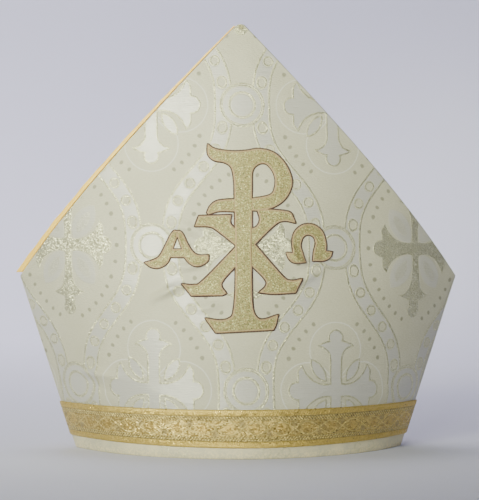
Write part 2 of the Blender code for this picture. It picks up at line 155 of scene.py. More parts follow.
HEM_HEIGHT, ABOVE_BRAID = 9.4, 39.5


def smooth_step(x, low, high):
    """0 below 'low', 1 above 'high', and 3t*t - 2t*t*t between."""
    t = np.clip((x - low) / (high - low), 0.0, 1.0)
    return t * t * (3.0 - 2.0 * t)


def cloth_relief(across, z, side=1.0):
    """How far the cloth stands out from the plain bow: long sine waves, puckers beside the braid and the
    letters, the bulging hem, and the crease at the side seams. A pucker is its height times the bell
    curve of the distance from its middle, stretched along the fold. 'side' is -1 on the back panel, which
    has no letters, so its waves and puckers differ."""
    s, h = side * across / MM, z / MM
    wave = 0.50 * np.sin(s / 31.0 + 0.9) * np.cos(h / 44.0 + 0.4) + 0.40 * np.sin(s / 17.0 - h / 21.0 + side)
    folds = np.zeros_like(s + h)
    puckers = PUCKERS_ON_BOTH + PUCKERS_ON_FRONT if side > 0 else PUCKERS_ON_BOTH
    for at_s, at_h, turn, length, width, height in puckers:
        c, d = math.cos(math.radians(turn)), math.sin(math.radians(turn))
        along, over = (s - at_s) * c + (h - at_h) * d, (h - at_h) * c - (s - at_s) * d
        folds += height * np.exp(-((along / length) ** 2) - (over / width) ** 2)
    bulge = np.sin(np.pi * np.clip(h / HEM_HEIGHT, 0.0, 1.0))
    hem = 0.55 * bulge + 0.22 * np.exp(-(((h - ABOVE_BRAID) / 3.5) ** 2))
    to_seam = (seam_length(z, 0.0, 0.0) - np.abs(across)) / MM
    below = 1.0 - smooth_step(z, CORNER_HEIGHT - 0.004, CORNER_HEIGHT)
    edge = np.where(z < CORNER_HEIGHT, to_seam, (horn_length(z) - np.abs(across)) / MM / EDGE_STRETCH)
    crease = 0.5 * np.exp(-((to_seam / 1.6) ** 2)) * below
    inner = (wave + folds) * smooth_step(edge, 1.0, 22.0)
    return (inner + hem * smooth_step(to_seam, 0.5, 8.0) - crease) * MM


puff = float(cloth_relief(np.array(-0.112), np.array(0.058)))
print("relief at the puff above the braid:", round(puff / MM, 2), "mm")

# %% [markdown]
# ## Camera
# The mitre is seen from in front at about half its height, from 1.1 metres, by a long lens that looks
# level. The level view keeps the upright lines upright. The camera stands a little to the left, so the
# left half shows slightly more than the right one, as the seams at the two sides ask.

# %% Camera
camera_data = bpy.data.cameras.new("camera")
camera_data.lens, camera_data.sensor_width = 106.29, 36.0
camera = bpy.data.objects.new("camera", camera_data)
camera.location = (-0.03876, -1.12132, 0.1489)
camera.rotation_euler = (math.radians(90.0), 0.0, math.radians(-2.0))
bpy.context.collection.objects.link(camera)
bpy.context.scene.camera = camera
print("camera", tuple(camera.location), "lens", camera_data.lens)

# %% [markdown]
# ## Meshes from whole arrays
# A grid of points becomes a sheet of quads, and a few grids stacked from a cloth's face to its back become
# a closed wall. Each point also keeps a second triple, its place on the flat cloth in millimetres, which the
# finishes read as the attribute "cloth", so a pattern follows the cloth round every bend. Projecting the
# pattern from the front would be quicker, but it would smear at the sides.

# %% Mesh helpers


def make_piece(name, points, faces, cloth, finishes, slot, finish_of_face=None):
    """Link a mesh object made of these points and faces, shaded smooth, with 'cloth' on its points.
    'finish_of_face' gives the number of each face's finish where there is more than one."""
    mesh = bpy.data.meshes.new(name)
    mesh.from_pydata(points.tolist(), [], faces if isinstance(faces, list) else faces.tolist())
    for finish in finishes:
        mesh.materials.append(finish.material)
    if finish_of_face is not None:
        mesh.polygons.foreach_set("material_index", np.asarray(finish_of_face, np.int32))
    attribute = mesh.attributes.new("cloth", "FLOAT_VECTOR", "POINT")
    attribute.data.foreach_set("vector", np.asarray(cloth, np.float32).ravel())
    mesh.shade_smooth()
    mesh.update()
    piece = bpy.data.objects.new(name, mesh)
    bpy.context.collection.objects.link(piece)
    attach(piece, "root")
    print(name, len(points), "points,", len(mesh.loops) - 2 * len(mesh.polygons), "triangles")
    return piece


def grid_quads(rows, columns, start=0):
    """Quads of a grid numbered row by row, each turned the same way."""
    index = start + np.arange(rows * columns).reshape(rows, columns)
    corners = [index[:-1, :-1], index[:-1, 1:], index[1:, 1:], index[1:, :-1]]
    return np.stack(corners, axis=-1).reshape(-1, 4)


def grid_loop(rows, columns):
    """Numbers of the grid's edge points, once round it."""
    index = np.arange(rows * columns).reshape(rows, columns)
    return np.concatenate([index[0, :-1], index[:-1, -1], index[-1, :0:-1], index[:0:-1, 0]])


def closed_sheet(layers, cloths, back_from):
    """A wall from its face to its back: the first and last grid are covered, and the edges of the layers
    between are skinned round the rim. The finish number is 1 from layer 'back_from' on."""
    rows, columns = layers[0].shape[:2]
    loop, quads = grid_loop(rows, columns), grid_quads(rows, columns)
    count = rows * columns
    faces, finish = [quads, quads[:, ::-1] + count], [np.zeros(len(quads)), np.ones(len(quads))]
    rims = [loop, *(2 * count + k * loop.size + np.arange(loop.size) for k in range(len(layers) - 2))]
    rims.append(loop + count)
    for k, (near, far) in enumerate(zip(rims[:-1], rims[1:])):
        faces.append(np.stack([near, far, np.roll(far, -1), np.roll(near, -1)], axis=-1))
        finish.append(np.full(len(loop), float(k + 1 >= back_from)))
    flat = [layer.reshape(-1, 3) for layer in layers]
    marks = [cloth.reshape(-1, 3) for cloth in cloths]
    points = np.concatenate([flat[0], flat[-1]] + [layer[loop] for layer in flat[1:-1]])
    cloth = np.concatenate([marks[0], marks[-1]] + [mark[loop] for mark in marks[1:-1]])
    return points, np.concatenate(faces), cloth, np.concatenate(finish)


def tube_quads(count, around):
    """Quads between 'count' closed sections: each joins two neighbours 'around' a section and the two
    points beside them on the next section."""
    index = np.arange(count * around).reshape(count, around)
    after = np.roll(index, -1, axis=1)
    return np.stack([index[:-1], after[:-1], after[1:], index[1:]], axis=-1).reshape(-1, 4)


def closed_tube(rings, cloths):
    """Skin closed sections that follow each other round a closed path. The remainder of a point's number
    brings the section after the last back to the first."""
    count, around = rings.shape[:2]
    quads = tube_quads(count + 1, around) % (count * around)
    return rings.reshape(-1, 3), quads, cloths.reshape(-1, 3)


# %% [markdown]
# ## Finishes as sums
# A woven pattern is a long sum of distances, and drawn as boxes and noodles nobody could read it. So one
# small class wraps a socket and lets Python's own operators add the Math nodes. All other nodes come
# from one method, which takes the node's type, its settings, and the values or links of its sockets.

# %% Shader helpers


class Wire:
    """A socket that can stand in a sum: every operator adds one Math node."""

    def __init__(self, finish, socket):
        self.finish, self.socket = finish, socket

    def math(self, operation, *terms, clamp=False):
        """One Math node on these terms, or on the wire itself when there are none."""
        settings = {"operation": operation, "use_clamp": clamp}
        return self.finish.node("ShaderNodeMath", settings, dict(enumerate(terms or (self,))))

    def __add__(self, other):
        return self.math("ADD", self, other)

    def __sub__(self, other):
        return self.math("SUBTRACT", self, other)

    def __rsub__(self, other):
        return self.math("SUBTRACT", other, self)

    def __mul__(self, other):
        return self.math("MULTIPLY", self, other)

    def __truediv__(self, other):
        return self.math("DIVIDE", self, other)

    def __rtruediv__(self, other):
        return self.math("DIVIDE", other, self)

    def __pow__(self, other):
        return self.math("POWER", self, other)

    def __abs__(self):
        return self.math("ABSOLUTE")

    __radd__ = __add__
    __rmul__ = __mul__

    def below(self, edge, soft=0.5):
        """1 where this is under 'edge', 0 where it is over, and a ramp 'soft' wide between."""
        return self.math("MULTIPLY_ADD", self, -1.0 / soft, edge / soft + 0.5, clamp=True)

    def line(self, centre, half, soft=0.5):
        """1 on a line 'half' wide to both sides of 'centre'."""
        return abs(self - centre).below(half, soft)

    def over(self, edge):
        """1 where this is over 'edge' and 0 elsewhere, with no ramp."""
        return self.math("GREATER_THAN", self, edge)

    def fold(self, length):
        """This number folded back and forth between 0 and 'length'."""
        return self.math("PINGPONG", self, length)

    def wave(self, period):
        """The sine of 2 pi times this over 'period'."""
        return (self * (2.0 * math.pi / period)).math("SINE")


class Finish:
    """One material with a Principled shader. Values in 'constants' are the same all over the piece."""

    def __init__(self, name, constants):
        self.material = bpy.data.materials.new(name)
        self.material.use_nodes = True
        self.tree = self.material.node_tree
        self.shader = self.tree.nodes["Principled BSDF"]
        for label, value in constants.items():
            self.shader.inputs[label].default_value = value

    def node(self, kind, settings=None, sockets=None, output=0):
        """Add a node of this type, give it its settings, then fill or link its sockets."""
        node = self.tree.nodes.new(kind)
        for key, value in (settings or {}).items():
            setattr(node, key, value)
        for key, value in (sockets or {}).items():
            self.join(node.inputs[key], value)
        return Wire(self, node.outputs[output])

    def join(self, socket, value):
        """Link a wire to this socket, or set its value."""
        if isinstance(value, Wire):
            self.tree.links.new(value.socket, socket)
        else:
            socket.default_value = value

    def shade(self, label, value):
        """Feed one of the shader's own sockets."""
        self.join(self.shader.inputs[label], value)

    def mix(self, share, first, second):
        """A colour between two: 'share' 0 gives the first, 1 the second."""
        sockets = {0: share, 6: first, 7: second}
        return self.node("ShaderNodeMix", {"data_type": "RGBA"}, sockets, output=2)

    def place(self, name="cloth"):
        """The attribute as one wire, then its three numbers: across, up and a third one."""
        vector = self.node("ShaderNodeAttribute", {"attribute_name": name}, output="Vector")
        parts = self.node("ShaderNodeSeparateXYZ", None, {0: vector})
        wires = [Wire(self, socket) for socket in parts.socket.node.outputs]
        return vector, *wires

    def vectors(self, operation, *terms):
        """A sum on vectors: one Vector Math node. SCALE takes its number as the fourth socket."""
        return self.node("ShaderNodeVectorMath", {"operation": operation}, dict(enumerate(terms)))

    def stretch(self, vector, across, up):
        """The place with its first number times 'across' and its second times 'up'."""
        return self.vectors("MULTIPLY", vector, (across, up, 1.0))

    def bump(self, height, tilt=None, amount=0.0):
        """Turn a height in millimetres into the shading of a relief. With 'tilt', a random colour for each
        stitch, the surface first leans by that colour less a half times 'amount'."""
        sockets = {"Strength": 1.0, "Distance": MM, "Height": height}
        if tilt:
            lean = self.vectors("SUBTRACT", tilt, (0.5, 0.5, 0.5))
            lean = self.vectors("SCALE", lean, (0, 0, 0), (0, 0, 0), amount)
            normal = self.node("ShaderNodeNewGeometry", output="Normal")
            sockets["Normal"] = self.vectors("NORMALIZE", self.vectors("ADD", normal, lean))
        self.shade("Normal", self.node("ShaderNodeBump", None, sockets))


def least(first, *others):
    """The smallest of some wires."""
    for other in others:
        first = first.math("MINIMUM", first, other)
    return first


def most(first, *others):
    """The largest of some wires."""
    for other in others:
        first = first.math("MAXIMUM", first, other)
    return first


def far(x, y):
    """The distance of (x, y) from the origin: the root of x*x + y*y."""
    return x.math("MULTIPLY_ADD", x, x, y * y).math("SQRT")


def rgb(red, green, blue):
    """A colour as Blender wants it, with its fourth number."""
    return (red, green, blue, 1.0)


print("shader helpers ready")

# %% [markdown]
# ## The brocade's figure
# The cloth is woven in one piece: a cream satin ground, a paler glossy weft that floats over it, and
# metal thread. Its figure is a traditional one. Wavy bands swell and meet at roundels, and leave pointed
# compartments, each with a flowered cross. The repeat is symmetric, so the place on the cloth is folded
# back and forth between two mirror lines first, and then only a quarter of one compartment is described,
# by distances to circles and lines, in millimetres.

# %% The folded repeat and its bands
REPEAT_HALF, REPEAT_HEIGHT = 67.3, 103.4
MIRROR_ACROSS, MIRROR_UP = 1.8, 151.4
LEAN_ACROSS, LEAN_UP = 0.0107, 0.0126
BAND_EDGE, RING_STEP, RING_RADIUS = 5.95, 8.03, 3.3
HUB_REACH, HUB_RIM, HUB_FINE_LINE, HUB_RING = 16.6, 15.9, 14.4, 9.4


def fold_repeat(s, z):
    """Fold the cloth at the repeat's mirror lines. The cloth was cut a little off its thread, so both
    lines lean."""
    across = s - MIRROR_ACROSS + LEAN_ACROSS * (z - MIRROR_UP)
    up = z - MIRROR_UP + LEAN_UP * s
    return across.fold(REPEAT_HALF), up.fold(REPEAT_HEIGHT)


def band_masks(p, q):
    """The wavy band: its middle swings as a cosine sharpened by its cube, and w is the distance from it.
    Rings sit every 16 mm along it, counted at the nearest place on its middle, and gold lines bound it.
    A hub is the roundel where two bands meet. All is in millimetres."""
    angle = q * (math.pi / REPEAT_HEIGHT)
    c, sine = angle.math("COSINE"), angle.math("SINE")
    cc = c * c
    middle = c * (1.27 - 0.36 * cc) * 21.9 + REPEAT_HALF / 2.0
    slope = sine * (1.27 - 1.08 * cc) * 0.665
    stretch = slope * slope + 1.0
    w = (p - middle) / stretch.math("SQRT")
    side = abs(w)
    v = abs(q - (p - middle) * slope / stretch - REPEAT_HEIGHT / 2.0)
    t = v * (1.309 - 0.000127 * (v * v))
    ring = far(RING_STEP - t.fold(RING_STEP), w)
    hub = least(far(REPEAT_HALF - p, q), far(p, REPEAT_HEIGHT - q))
    out = 1.0 - hub.below(HUB_REACH)
    gold = most(side.line(BAND_EDGE, 0.72), ring.line(RING_RADIUS, 0.58)) * out
    satin = side.below(5.0) * (1.0 - ring.below(4.4)) * out
    gold = most(gold, hub.line(HUB_RIM, 0.58), hub.line(HUB_FINE_LINE, 0.35), hub.line(HUB_RING, 0.7))
    satin = most(satin, hub.line(12.1, 1.8), hub.below(7.9))
    field = (1.0 - side.below(6.6)) * out
    return gold, satin, field, (p - middle).over(0.0)


# %% [markdown]
# Each compartment holds a cross with leafed arms and four petals between them, inside a ring of small
# lozenges. The crosses of one kind are woven as glossy fields with a fine gold outline, those of the other
# kind in solid gold thread, and both share their outlines, so one function serves for both.

# %% The crosses
LOZENGE_CIRCLE = 59.7


def cross_masks(p, q, kind):
    """Quarter of a flowered cross from circles and lines. 'kind' is 1 in the compartments of glossy
    crosses and 0 in those of gold ones, and the numbers that it multiplies are what the two differ by. A
    distance is under 0 inside a shape: 'most' cuts two shapes with each other, and 'least' joins them."""
    x = p + kind * (REPEAT_HALF - 2.0 * p)
    y = q + kind * (REPEAT_HEIGHT - 2.0 * q)
    lift = y - 2.4 + 2.4 * kind
    right, high = 1.0 - kind, kind - 1.0
    shaft = x - (2.2 + 0.055 * y) * right - 4.4 * kind
    leaf = most(10.0 - far(x - 14.4, lift - 22.0), lift - 36.0 + 0.0196 * (x * x), x - 13.6, 22.0 - lift)
    lobe = far(x, lift - 43.6 + 5.6 * kind) - 5.4
    arm = most(19.0 - far(x - 8.0, y - 23.3), x - 38.5 + 0.66 * y, x - 29.5, y - 17.8)
    cross = least(most(shaft, lift - 24.0 + 16.0 * high), leaf, lobe, arm, far(x - 30.2, y) - 6.3)
    low_circle = far(x - 21.7 + 0.6 * right, y - 8.8 + 2.4 * high)
    high_circle = far(x - 6.1 + 0.6 * right, y - 19.9 + 2.4 * high)
    petal = most(most(low_circle, high_circle) - 13.4, 0.6 - cross)
    glossy = most(cross.below(0.0) * kind, petal.below(0.0), petal.below(4.3, 1.0) * (1.0 - kind) * 0.8)
    rings = most(far(x, y - 29.0).line(20.2, 0.4), far(x - 22.0, y).line(20.3, 0.4)) * kind
    rings = rings * (1.0 - least(cross, petal).below(0.0))
    gold = most(cross.below(0.0) * right, cross.line(0.0, 0.58) * kind, petal.line(0.0, 0.58) * kind)
    gold = most(gold, petal.below(0.0, 1.0) * right * 0.25)
    return gold, glossy * most(kind, 1.0 - cross.below(0.0)), rings, lozenge_mask(x, y, kind)


def lozenge_mask(x, y, kind):
    """Small lozenges every 7.5 degrees on a circle of 59.7 mm about a point beside the cross. Near the
    cross's own level they stand 11.35 degrees apart. u counts them along the circle."""
    turn = y.math("ARCTAN2", y - 0.3, x + 19.2) * (180.0 / math.pi) - 22.7
    u = most(turn / 11.35, turn / 7.5)
    along = abs(u - u.math("ROUND"))
    wide = 1.0 - u.below(-0.25, 0.1)
    lozenge = far(far(x + 19.2, y - 0.3) - LOZENGE_CIRCLE, along * (14.8 - 5.0 * wide))
    reach = abs(u - 1.5 - 0.5 * kind) + 1.5 * kind
    return lozenge.below(1.6, 0.9) * reach.below(4.0, 0.1)


print("brocade figure ready")

# %% [markdown]
# The cloth's threads give the rest. The ground shows fine ribs, the glossy weft is smoother, and the metal
# thread lies on top in short flat stitches, each tilted a little differently. Cells of a Voronoi texture,
# one per stitch, give each its own colour, height and tilt; the brightest few are painted near white as a
# painted glint. So the thread glitters where the light comes from one side, and looks smooth and olive in the
# shade, which one colour for it couldn't do.

# %% Brocade
GROUND_DARK, GROUND_LIGHT = rgb(0.500, 0.484, 0.350), rgb(0.560, 0.542, 0.400)
GLOSSY, HEM_CREAM = rgb(0.525, 0.516, 0.450), rgb(0.86, 0.77, 0.48)
RING_PALE, LOZENGE_DARK = rgb(0.66, 0.66, 0.60), rgb(0.24, 0.235, 0.155)
GOLD_DULL, GOLD_PAINTED_GLINT = rgb(0.53, 0.52, 0.32), rgb(1.0, 0.99, 0.70)


def thread_cells(finish, vector, size, wide=1.0):
    """A random colour per stitch and its three numbers: Voronoi cells of this size in millimetres."""
    scaled = finish.stretch(vector, 1.0 / size / wide, 1.0 / size)
    cells = finish.node(
        "ShaderNodeTexVoronoi", {"voronoi_dimensions": "2D"}, {"Vector": scaled, "Scale": 1.0}, output="Color"
    )
    parts = finish.node("ShaderNodeSeparateColor", None, {0: cells})
    return cells, *(Wire(finish, socket) for socket in parts.socket.node.outputs)


def noise(finish, vector, size, detail=2.0):
    """Soft noise between about 0.3 and 0.7 whose blots are 'size' across, in millimetres."""
    sockets = {"Vector": vector, "Scale": 1.0 / size, "Detail": detail, "Roughness": 0.55}
    return finish.node("ShaderNodeTexNoise", {"noise_dimensions": "2D"}, sockets)


def make_brocade():
    """Cream ground, glossy weft and metal thread, with their own colour, gloss and relief. The metal's
    brightest stitches are painted near white, a painted glint.
    """
    brocade = Finish("brocade", {"Sheen Weight": 0.15, "Sheen Roughness": 0.4, "Specular IOR Level": 0.5})
    vector, s, z, _ = brocade.place()
    wander = noise(brocade, vector, 3.0) - 0.5
    p, q = fold_repeat(s + wander * 0.7, z + wander * 0.5)
    band_gold, band_satin, field, kind = band_masks(p, q)
    cross_gold, cross_satin, rings, lozenge = cross_masks(p, q, kind)
    hem = z.below(12.0, 0.2)
    patch = noise(brocade, vector, 14.0)
    specks = z.below(5.0, 4.0) * noise(brocade, vector, 1.9).over(0.52)
    circles = far((s - 24.0).fold(37.0) - 7.0, z - 5.0).line(3.0, 0.5, 0.8)
    blobs = most(circles, abs(s - z - 22.0).below(0.8))
    above = 1.0 - hem
    solid_gold = most(band_gold, cross_gold * field) * above + hem * blobs * 0.6
    glossy = most(band_satin, cross_satin * field) * above * (1.0 - solid_gold)
    lozenge, rings = lozenge * field * above, rings * field * above
    cells, spark, lift, _ = thread_cells(brocade, vector, 0.6, 1.25)
    gold = solid_gold * least(lift * 0.8 + 0.68, 1.0)
    streak = noise(brocade, brocade.stretch(vector, 0.09, 1.0), 1.0, 3.0)
    age = noise(brocade, vector, 45.0, 3.0)
    ribs, warp = z.wave(0.7), s.wave(0.8)
    weave = noise(brocade, brocade.stretch(vector, 0.4, 1.0), 0.9, 1.0)
    ground = brocade.mix(age * 1.6 + weave * 1.2 - 1.0, GROUND_DARK, GROUND_LIGHT)
    ground = brocade.mix(hem * (patch * 0.9 + specks * 0.4), ground, HEM_CREAM)
    cloth = brocade.mix(rings * 0.8, brocade.mix(glossy, ground, GLOSSY), RING_PALE)
    cloth = brocade.mix(lozenge * 0.85, cloth, LOZENGE_DARK)
    # Painted glint: the brightest stitch cells are coloured near white on top of the dull olive gold.
    thread = brocade.mix(spark**4.0 * 0.8, GOLD_DULL, GOLD_PAINTED_GLINT)
    brocade.shade("Base Color", brocade.mix(gold, cloth, thread))
    brocade.shade("Metallic", 0.12 + glossy * 0.06 + gold * 0.6)
    brocade.shade("Roughness", 0.56 - glossy * (0.06 + 0.20 * streak) - gold * 0.22)
    tooth = (ribs * warp * 0.03 + weave * 0.12) * (1.0 - glossy) + (ribs * 0.015 + streak * 0.16) * glossy
    relief = tooth + glossy * 0.08 + solid_gold * (0.1 + 0.12 * lift) + wander * 0.1
    brocade.bump(relief, cells, solid_gold * 0.6)
    return brocade


brocade = make_brocade()
print("brocade nodes:", len(brocade.tree.nodes))

# %% [markdown]
# ## The satin between the horns
# The lining is a gold-orange satin. Satin is smooth along its floats and ribbed across them, so it gets a
# low roughness, a sheen, and very fine ribs. The same satin lines the crown on the inside.

# %% Satin


def make_satin(name, colour, shadow, rib):
    """Satin: two close colours drift over it, and fine ribs 'rib' millimetres apart roughen its gloss."""
    satin = Finish(name, {"Sheen Weight": 0.3, "Sheen Roughness": 0.3, "Specular IOR Level": 0.4})
    vector, s, *_ = satin.place()
    drift = noise(satin, vector, 26.0, 3.0)
    slub = noise(satin, vector, 1.6, 2.0)
    satin.shade("Base Color", satin.mix(drift * 1.5 - 0.25, shadow, colour))
    satin.shade("Roughness", 0.34 + slub * 0.16)
    satin.bump(s.wave(rib) * 0.012 + slub * 0.05 + drift * 0.25)
    return satin


lining_satin = make_satin("lining_satin", rgb(0.80, 0.43, 0.12), rgb(0.70, 0.35, 0.08), 0.5)
# The turned edge is the lining's own satin, painted lighter and yellower: painted light on the horn's left
# edge.
painted_lit_edge_satin = make_satin("lining_edge_satin", rgb(1.0, 0.68, 0.12), rgb(1.0, 0.61, 0.09), 0.6)
print("satin nodes:", len(lining_satin.tree.nodes))

# %% [markdown]
# ## The panels
# Each panel is brocade drawn over a stiffener and turned in at the edges. A thin wall with well-rounded
# edges shows that: several layers from its face to its back, each a bit smaller than the last near the
# edges, are skinned together. The columns crowd towards the seams, where the cloth creases most.

# %% Panels
PANEL_COLUMNS = 144
crowding = np.linspace(-1.0, 1.0, PANEL_COLUMNS + 1)
COLUMN_SHARES = 1.35 * crowding - 0.35 * crowding**3
FACE_ROUND, BACK_ROUND = 0.0010, 0.0006
TIP_LAST_ROW = 84.0  # degrees round the tip's arc, where its last row is still a millimetre wide


def panel_rows(inset):
    """Heights of a layer's rows and half its flat width above the corners: straight up the horn's edges
    and round the tip. 'inset' pulls all the edges in. The rows are dense at the hem and the braid."""
    tip_radius = TIP_RADIUS - inset
    tangent = TIP_CENTRE_HEIGHT + tip_radius * math.sin(APEX_HALF_ANGLE)
    angles = np.radians(np.linspace(math.degrees(APEX_HALF_ANGLE), TIP_LAST_ROW, 9)[1:])
    lower = [np.linspace(inset, 0.0090, 7), np.linspace(0.0098, 0.0550, 34)]
    lower.append(np.linspace(0.0565, CORNER_HEIGHT, 44))
    upper = np.linspace(CORNER_HEIGHT, tangent, 100)[1:]
    heights = np.concatenate([*lower, upper, TIP_CENTRE_HEIGHT + tip_radius * np.sin(angles)])
    widths = horn_length(heights, inset)
    widths[-len(angles):] = tip_radius * np.cos(angles)
    return heights[:, None], widths[:, None]


def panel_layer(sink, inset, side):
    """One layer of a panel and its places on the flat cloth, in millimetres. The relief fades from all of
    it on the face to none on the back."""
    heights, widths = panel_rows(inset)
    seams = seam_length(heights, sink, GAP / 2.0)
    half = np.minimum(seams, np.where(heights < CORNER_HEIGHT, np.inf, widths))
    across = half * COLUMN_SHARES
    relief = cloth_relief(across, heights, side) * (1.0 - sink / PANEL_WALL)
    return wrap(across, heights, sink - relief), triples(across, heights, sink) / MM


def make_panel(name, side):
    """A panel as layers round its edge: a quarter circle on the face's side, a smaller one on the back's.
    The back panel is the front one turned half round the upright axis: x and y change their signs."""
    face_turn = np.radians([0.0, 25.0, 50.0, 75.0, 90.0])
    back_turn = face_turn[::2]
    sinks = [FACE_ROUND * (1.0 - math.cos(a)) for a in face_turn]
    insets = [FACE_ROUND * (1.0 - math.sin(a)) for a in face_turn]
    sinks += [PANEL_WALL - BACK_ROUND * (1.0 - math.sin(a)) for a in back_turn]
    insets += [BACK_ROUND * (1.0 - math.cos(a)) for a in back_turn]
    layers, cloths = zip(*(panel_layer(sink, inset, side) for sink, inset in zip(sinks, insets)))
    points, faces, cloth, finish = closed_sheet(layers, cloths, len(face_turn))
    if side < 0:
        points = points * np.array([-1.0, -1.0, 1.0])
    return make_piece(name, points, faces, cloth, (brocade, lining_satin), "brocade", finish)


front = make_panel("front_brocade", 1.0)
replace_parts(front, "front_panel")
back = make_panel("back_brocade", -1.0)
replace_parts(back, "back_panel")

# %% [markdown]
# ## The lining
# One piece of satin runs down behind the front horn, dips between the panels, and runs up behind the back
# horn, so the mitre can fold flat. It is bagged a little, with soft wrinkles that run down into the
# valley. A cloth simulation could drape it, but it is sewn all round and held by the stiff horns, so long
# low waves that die out at the seams look the same and are exact at every run.

# %% Lining
LINING_TUCK, LINING_TOP = 0.0018, 0.0015
VALLEY_START, VALLEY_RISE, VALLEY_SAG, VALLEY_END = 0.0020, 0.0160, 0.62, 0.0012
LINING_SINK = PANEL_WALL + GAP + LINING_WALL
WAVE_HEIGHT = 0.00028


def lining_half_length(z):
    """Half the lining's flat width: inside the horn's edge, and clear of the other horn at the corners."""
    return np.minimum(horn_length(z, LINING_TUCK), seam_length(z, LINING_SINK, VALLEY_END))


def lining_layer(sink):
    """A grid from the front horn's tip to the back horn's: down behind the horn, across the cleft in half
    an ellipse whose depth is VALLEY_SAG times its half width, and up again."""
    share = np.linspace(-1.0, 1.0, 97)
    leave = CORNER_HEIGHT + VALLEY_START + VALLEY_RISE * (1.0 - share**2)
    top = TIP_CENTRE_HEIGHT + LINING_TOP
    heights = top + (leave - top) * np.linspace(0.0, 1.0, 61)[:, None]
    front_half = wrap(share * lining_half_length(heights), heights, sink)
    face = wrap(share * lining_half_length(leave), leave, LINING_SINK)
    sag = -VALLEY_SAG * face[:, 1] + (LINING_SINK - sink)
    turn = np.linspace(0.0, math.pi, 33)[1:-1, None]
    start = front_half[-1]
    valley = triples(start[:, 0], start[:, 1] * np.cos(turn), leave - sag * np.sin(turn))
    return np.concatenate([front_half, valley, front_half[::-1] * np.array([1.0, -1.0, 1.0])])


def make_lining():
    """The hidden side lies on the panels. The shown side gets waves along the inward direction, which die
    out at the edges, and the flat cloth's place is the length along the grid's lines."""
    hidden, shown = lining_layer(PANEL_WALL + GAP), lining_layer(LINING_SINK)
    rows, columns = shown.shape[:2]
    u, v = np.linspace(-1.0, 1.0, columns)[None, :], np.linspace(-1.0, 1.0, rows)[:, None]
    fade = smooth_step(1.0 - np.abs(u), 0.0, 0.2) * smooth_step(1.0 - np.abs(v), 0.0, 0.1)
    waves = np.sin(11.0 * u + 2.5 * np.sin(3.0 * v)) + 0.8 * np.sin(19.0 * u - 6.0 * v + 1.0)
    waves = (waves + 0.7 * np.sin(9.0 * v + 4.0 * u) + 2.5) * WAVE_HEIGHT * fade
    shown = shown + unit(shown - hidden) * waves[..., None]
    down = np.linalg.norm(np.diff(shown, axis=0, prepend=shown[:1]), axis=-1).cumsum(axis=0)
    over = np.linalg.norm(np.diff(shown, axis=1, prepend=shown[:, :1]), axis=-1).cumsum(axis=1)
    cloth = triples(over, down, 0.0) / MM
    points, faces, cloth, _ = closed_sheet([hidden[::-1], shown[::-1]], [cloth[::-1], cloth[::-1]], 1)
    piece = make_piece("satin_lining", points, faces, cloth, (lining_satin,), "lining_satin")
    cell = np.cross(shown[1:, :-1] - shown[:-1, :-1], shown[:-1, 1:] - shown[:-1, :-1])
    return piece, float(np.linalg.norm(cell, axis=-1).sum()), float(down.max())


lining, lining_area, lining_path = make_lining()
lining_width = 2.0 * float(lining_half_length(CORNER_HEIGHT + VALLEY_START))
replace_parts(lining, "horn_lining")
print("lining", round(lining_area, 4), "square metres,", round(lining_path / MM), "mm along its middle")

# %% [markdown]
# ## The lining's turned edge
# Along the front horn's left edge the satin is turned out past the brocade and shows as a narrow strip,
# about four and a half millimetres wide at the corner and one at the tip. It is a section with rounded
# edges carried up the horn's edge, and it wavers a little, as a hand-turned edge does. Its satin is painted
# lighter and yellower than the lining's: painted light where the light falls on that edge.

# %% Turned edge
CORNER_CLEARANCE = 0.0027
EDGE_WIDTH, EDGE_TAPER = 0.0045, 0.0035
EDGE_FACE, EDGE_THIN, EDGE_DEEP = 0.0003, 0.0010, 0.0025  # sink of its face, least thickness, most sink
LENGTH_OF_HEIGHT = 1.38  # millimetres along the slanting edge for each one of height
BOXINESS = 0.45  # the power that turns the section's circle into a box with rounded corners


def make_turned_edge():
    """Carry a rounded flat section along the edge from just above the corner to the tip. Its width falls
    evenly from 4.5 to 1 mm, and its back stays clear of the seam plane."""
    start = CORNER_HEIGHT + CORNER_CLEARANCE
    end = TIP_CENTRE_HEIGHT + TIP_RADIUS * math.sin(APEX_HALF_ANGLE)
    share = np.linspace(0.0, 1.0, 150)
    heights = start + (end - start) * share
    waver = 1.0 + 0.05 * np.sin(share * 37.0) + 0.04 * np.sin(share * 91.0 + 1.0)
    width = (EDGE_WIDTH - EDGE_TAPER * share) * waver
    edge = horn_length(heights)
    room = (-GAP / 2.0 - wrap(edge, heights)[:, 1]) / np.cos(edge / bow_radius(heights))
    far_side = np.clip(room, EDGE_THIN, EDGE_DEEP)
    near_side = np.minimum(EDGE_FACE, far_side - EDGE_THIN)
    inner = edge + GAP * EDGE_STRETCH
    turn = np.linspace(0.0, 2.0 * np.pi, 17)[:-1]
    boxy_x = np.sign(np.cos(turn)) * np.abs(np.cos(turn)) ** BOXINESS
    boxy_y = np.sign(np.sin(turn)) * np.abs(np.sin(turn)) ** BOXINESS
    across = inner[:, None] + (width * EDGE_STRETCH)[:, None] * (0.5 + 0.5 * boxy_x)
    sink = ((near_side + far_side) / 2.0)[:, None] + ((far_side - near_side) / 2.0)[:, None] * boxy_y
    rings = wrap(-across, heights[:, None], sink)
    cloth = (triples(heights[:, None] * LENGTH_OF_HEIGHT, across, sink) / MM).reshape(-1, 3)
    index = np.arange(len(heights) * len(turn)).reshape(len(heights), len(turn))
    faces = tube_quads(len(heights), len(turn))[:, ::-1].tolist()
    faces += [index[0].tolist(), index[-1][::-1].tolist()]
    points = rings.reshape(-1, 3)
    return make_piece("turned_edge", points, faces, cloth, (painted_lit_edge_satin,), "lining_edge_satin")


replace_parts(make_turned_edge(), "lining_edge")

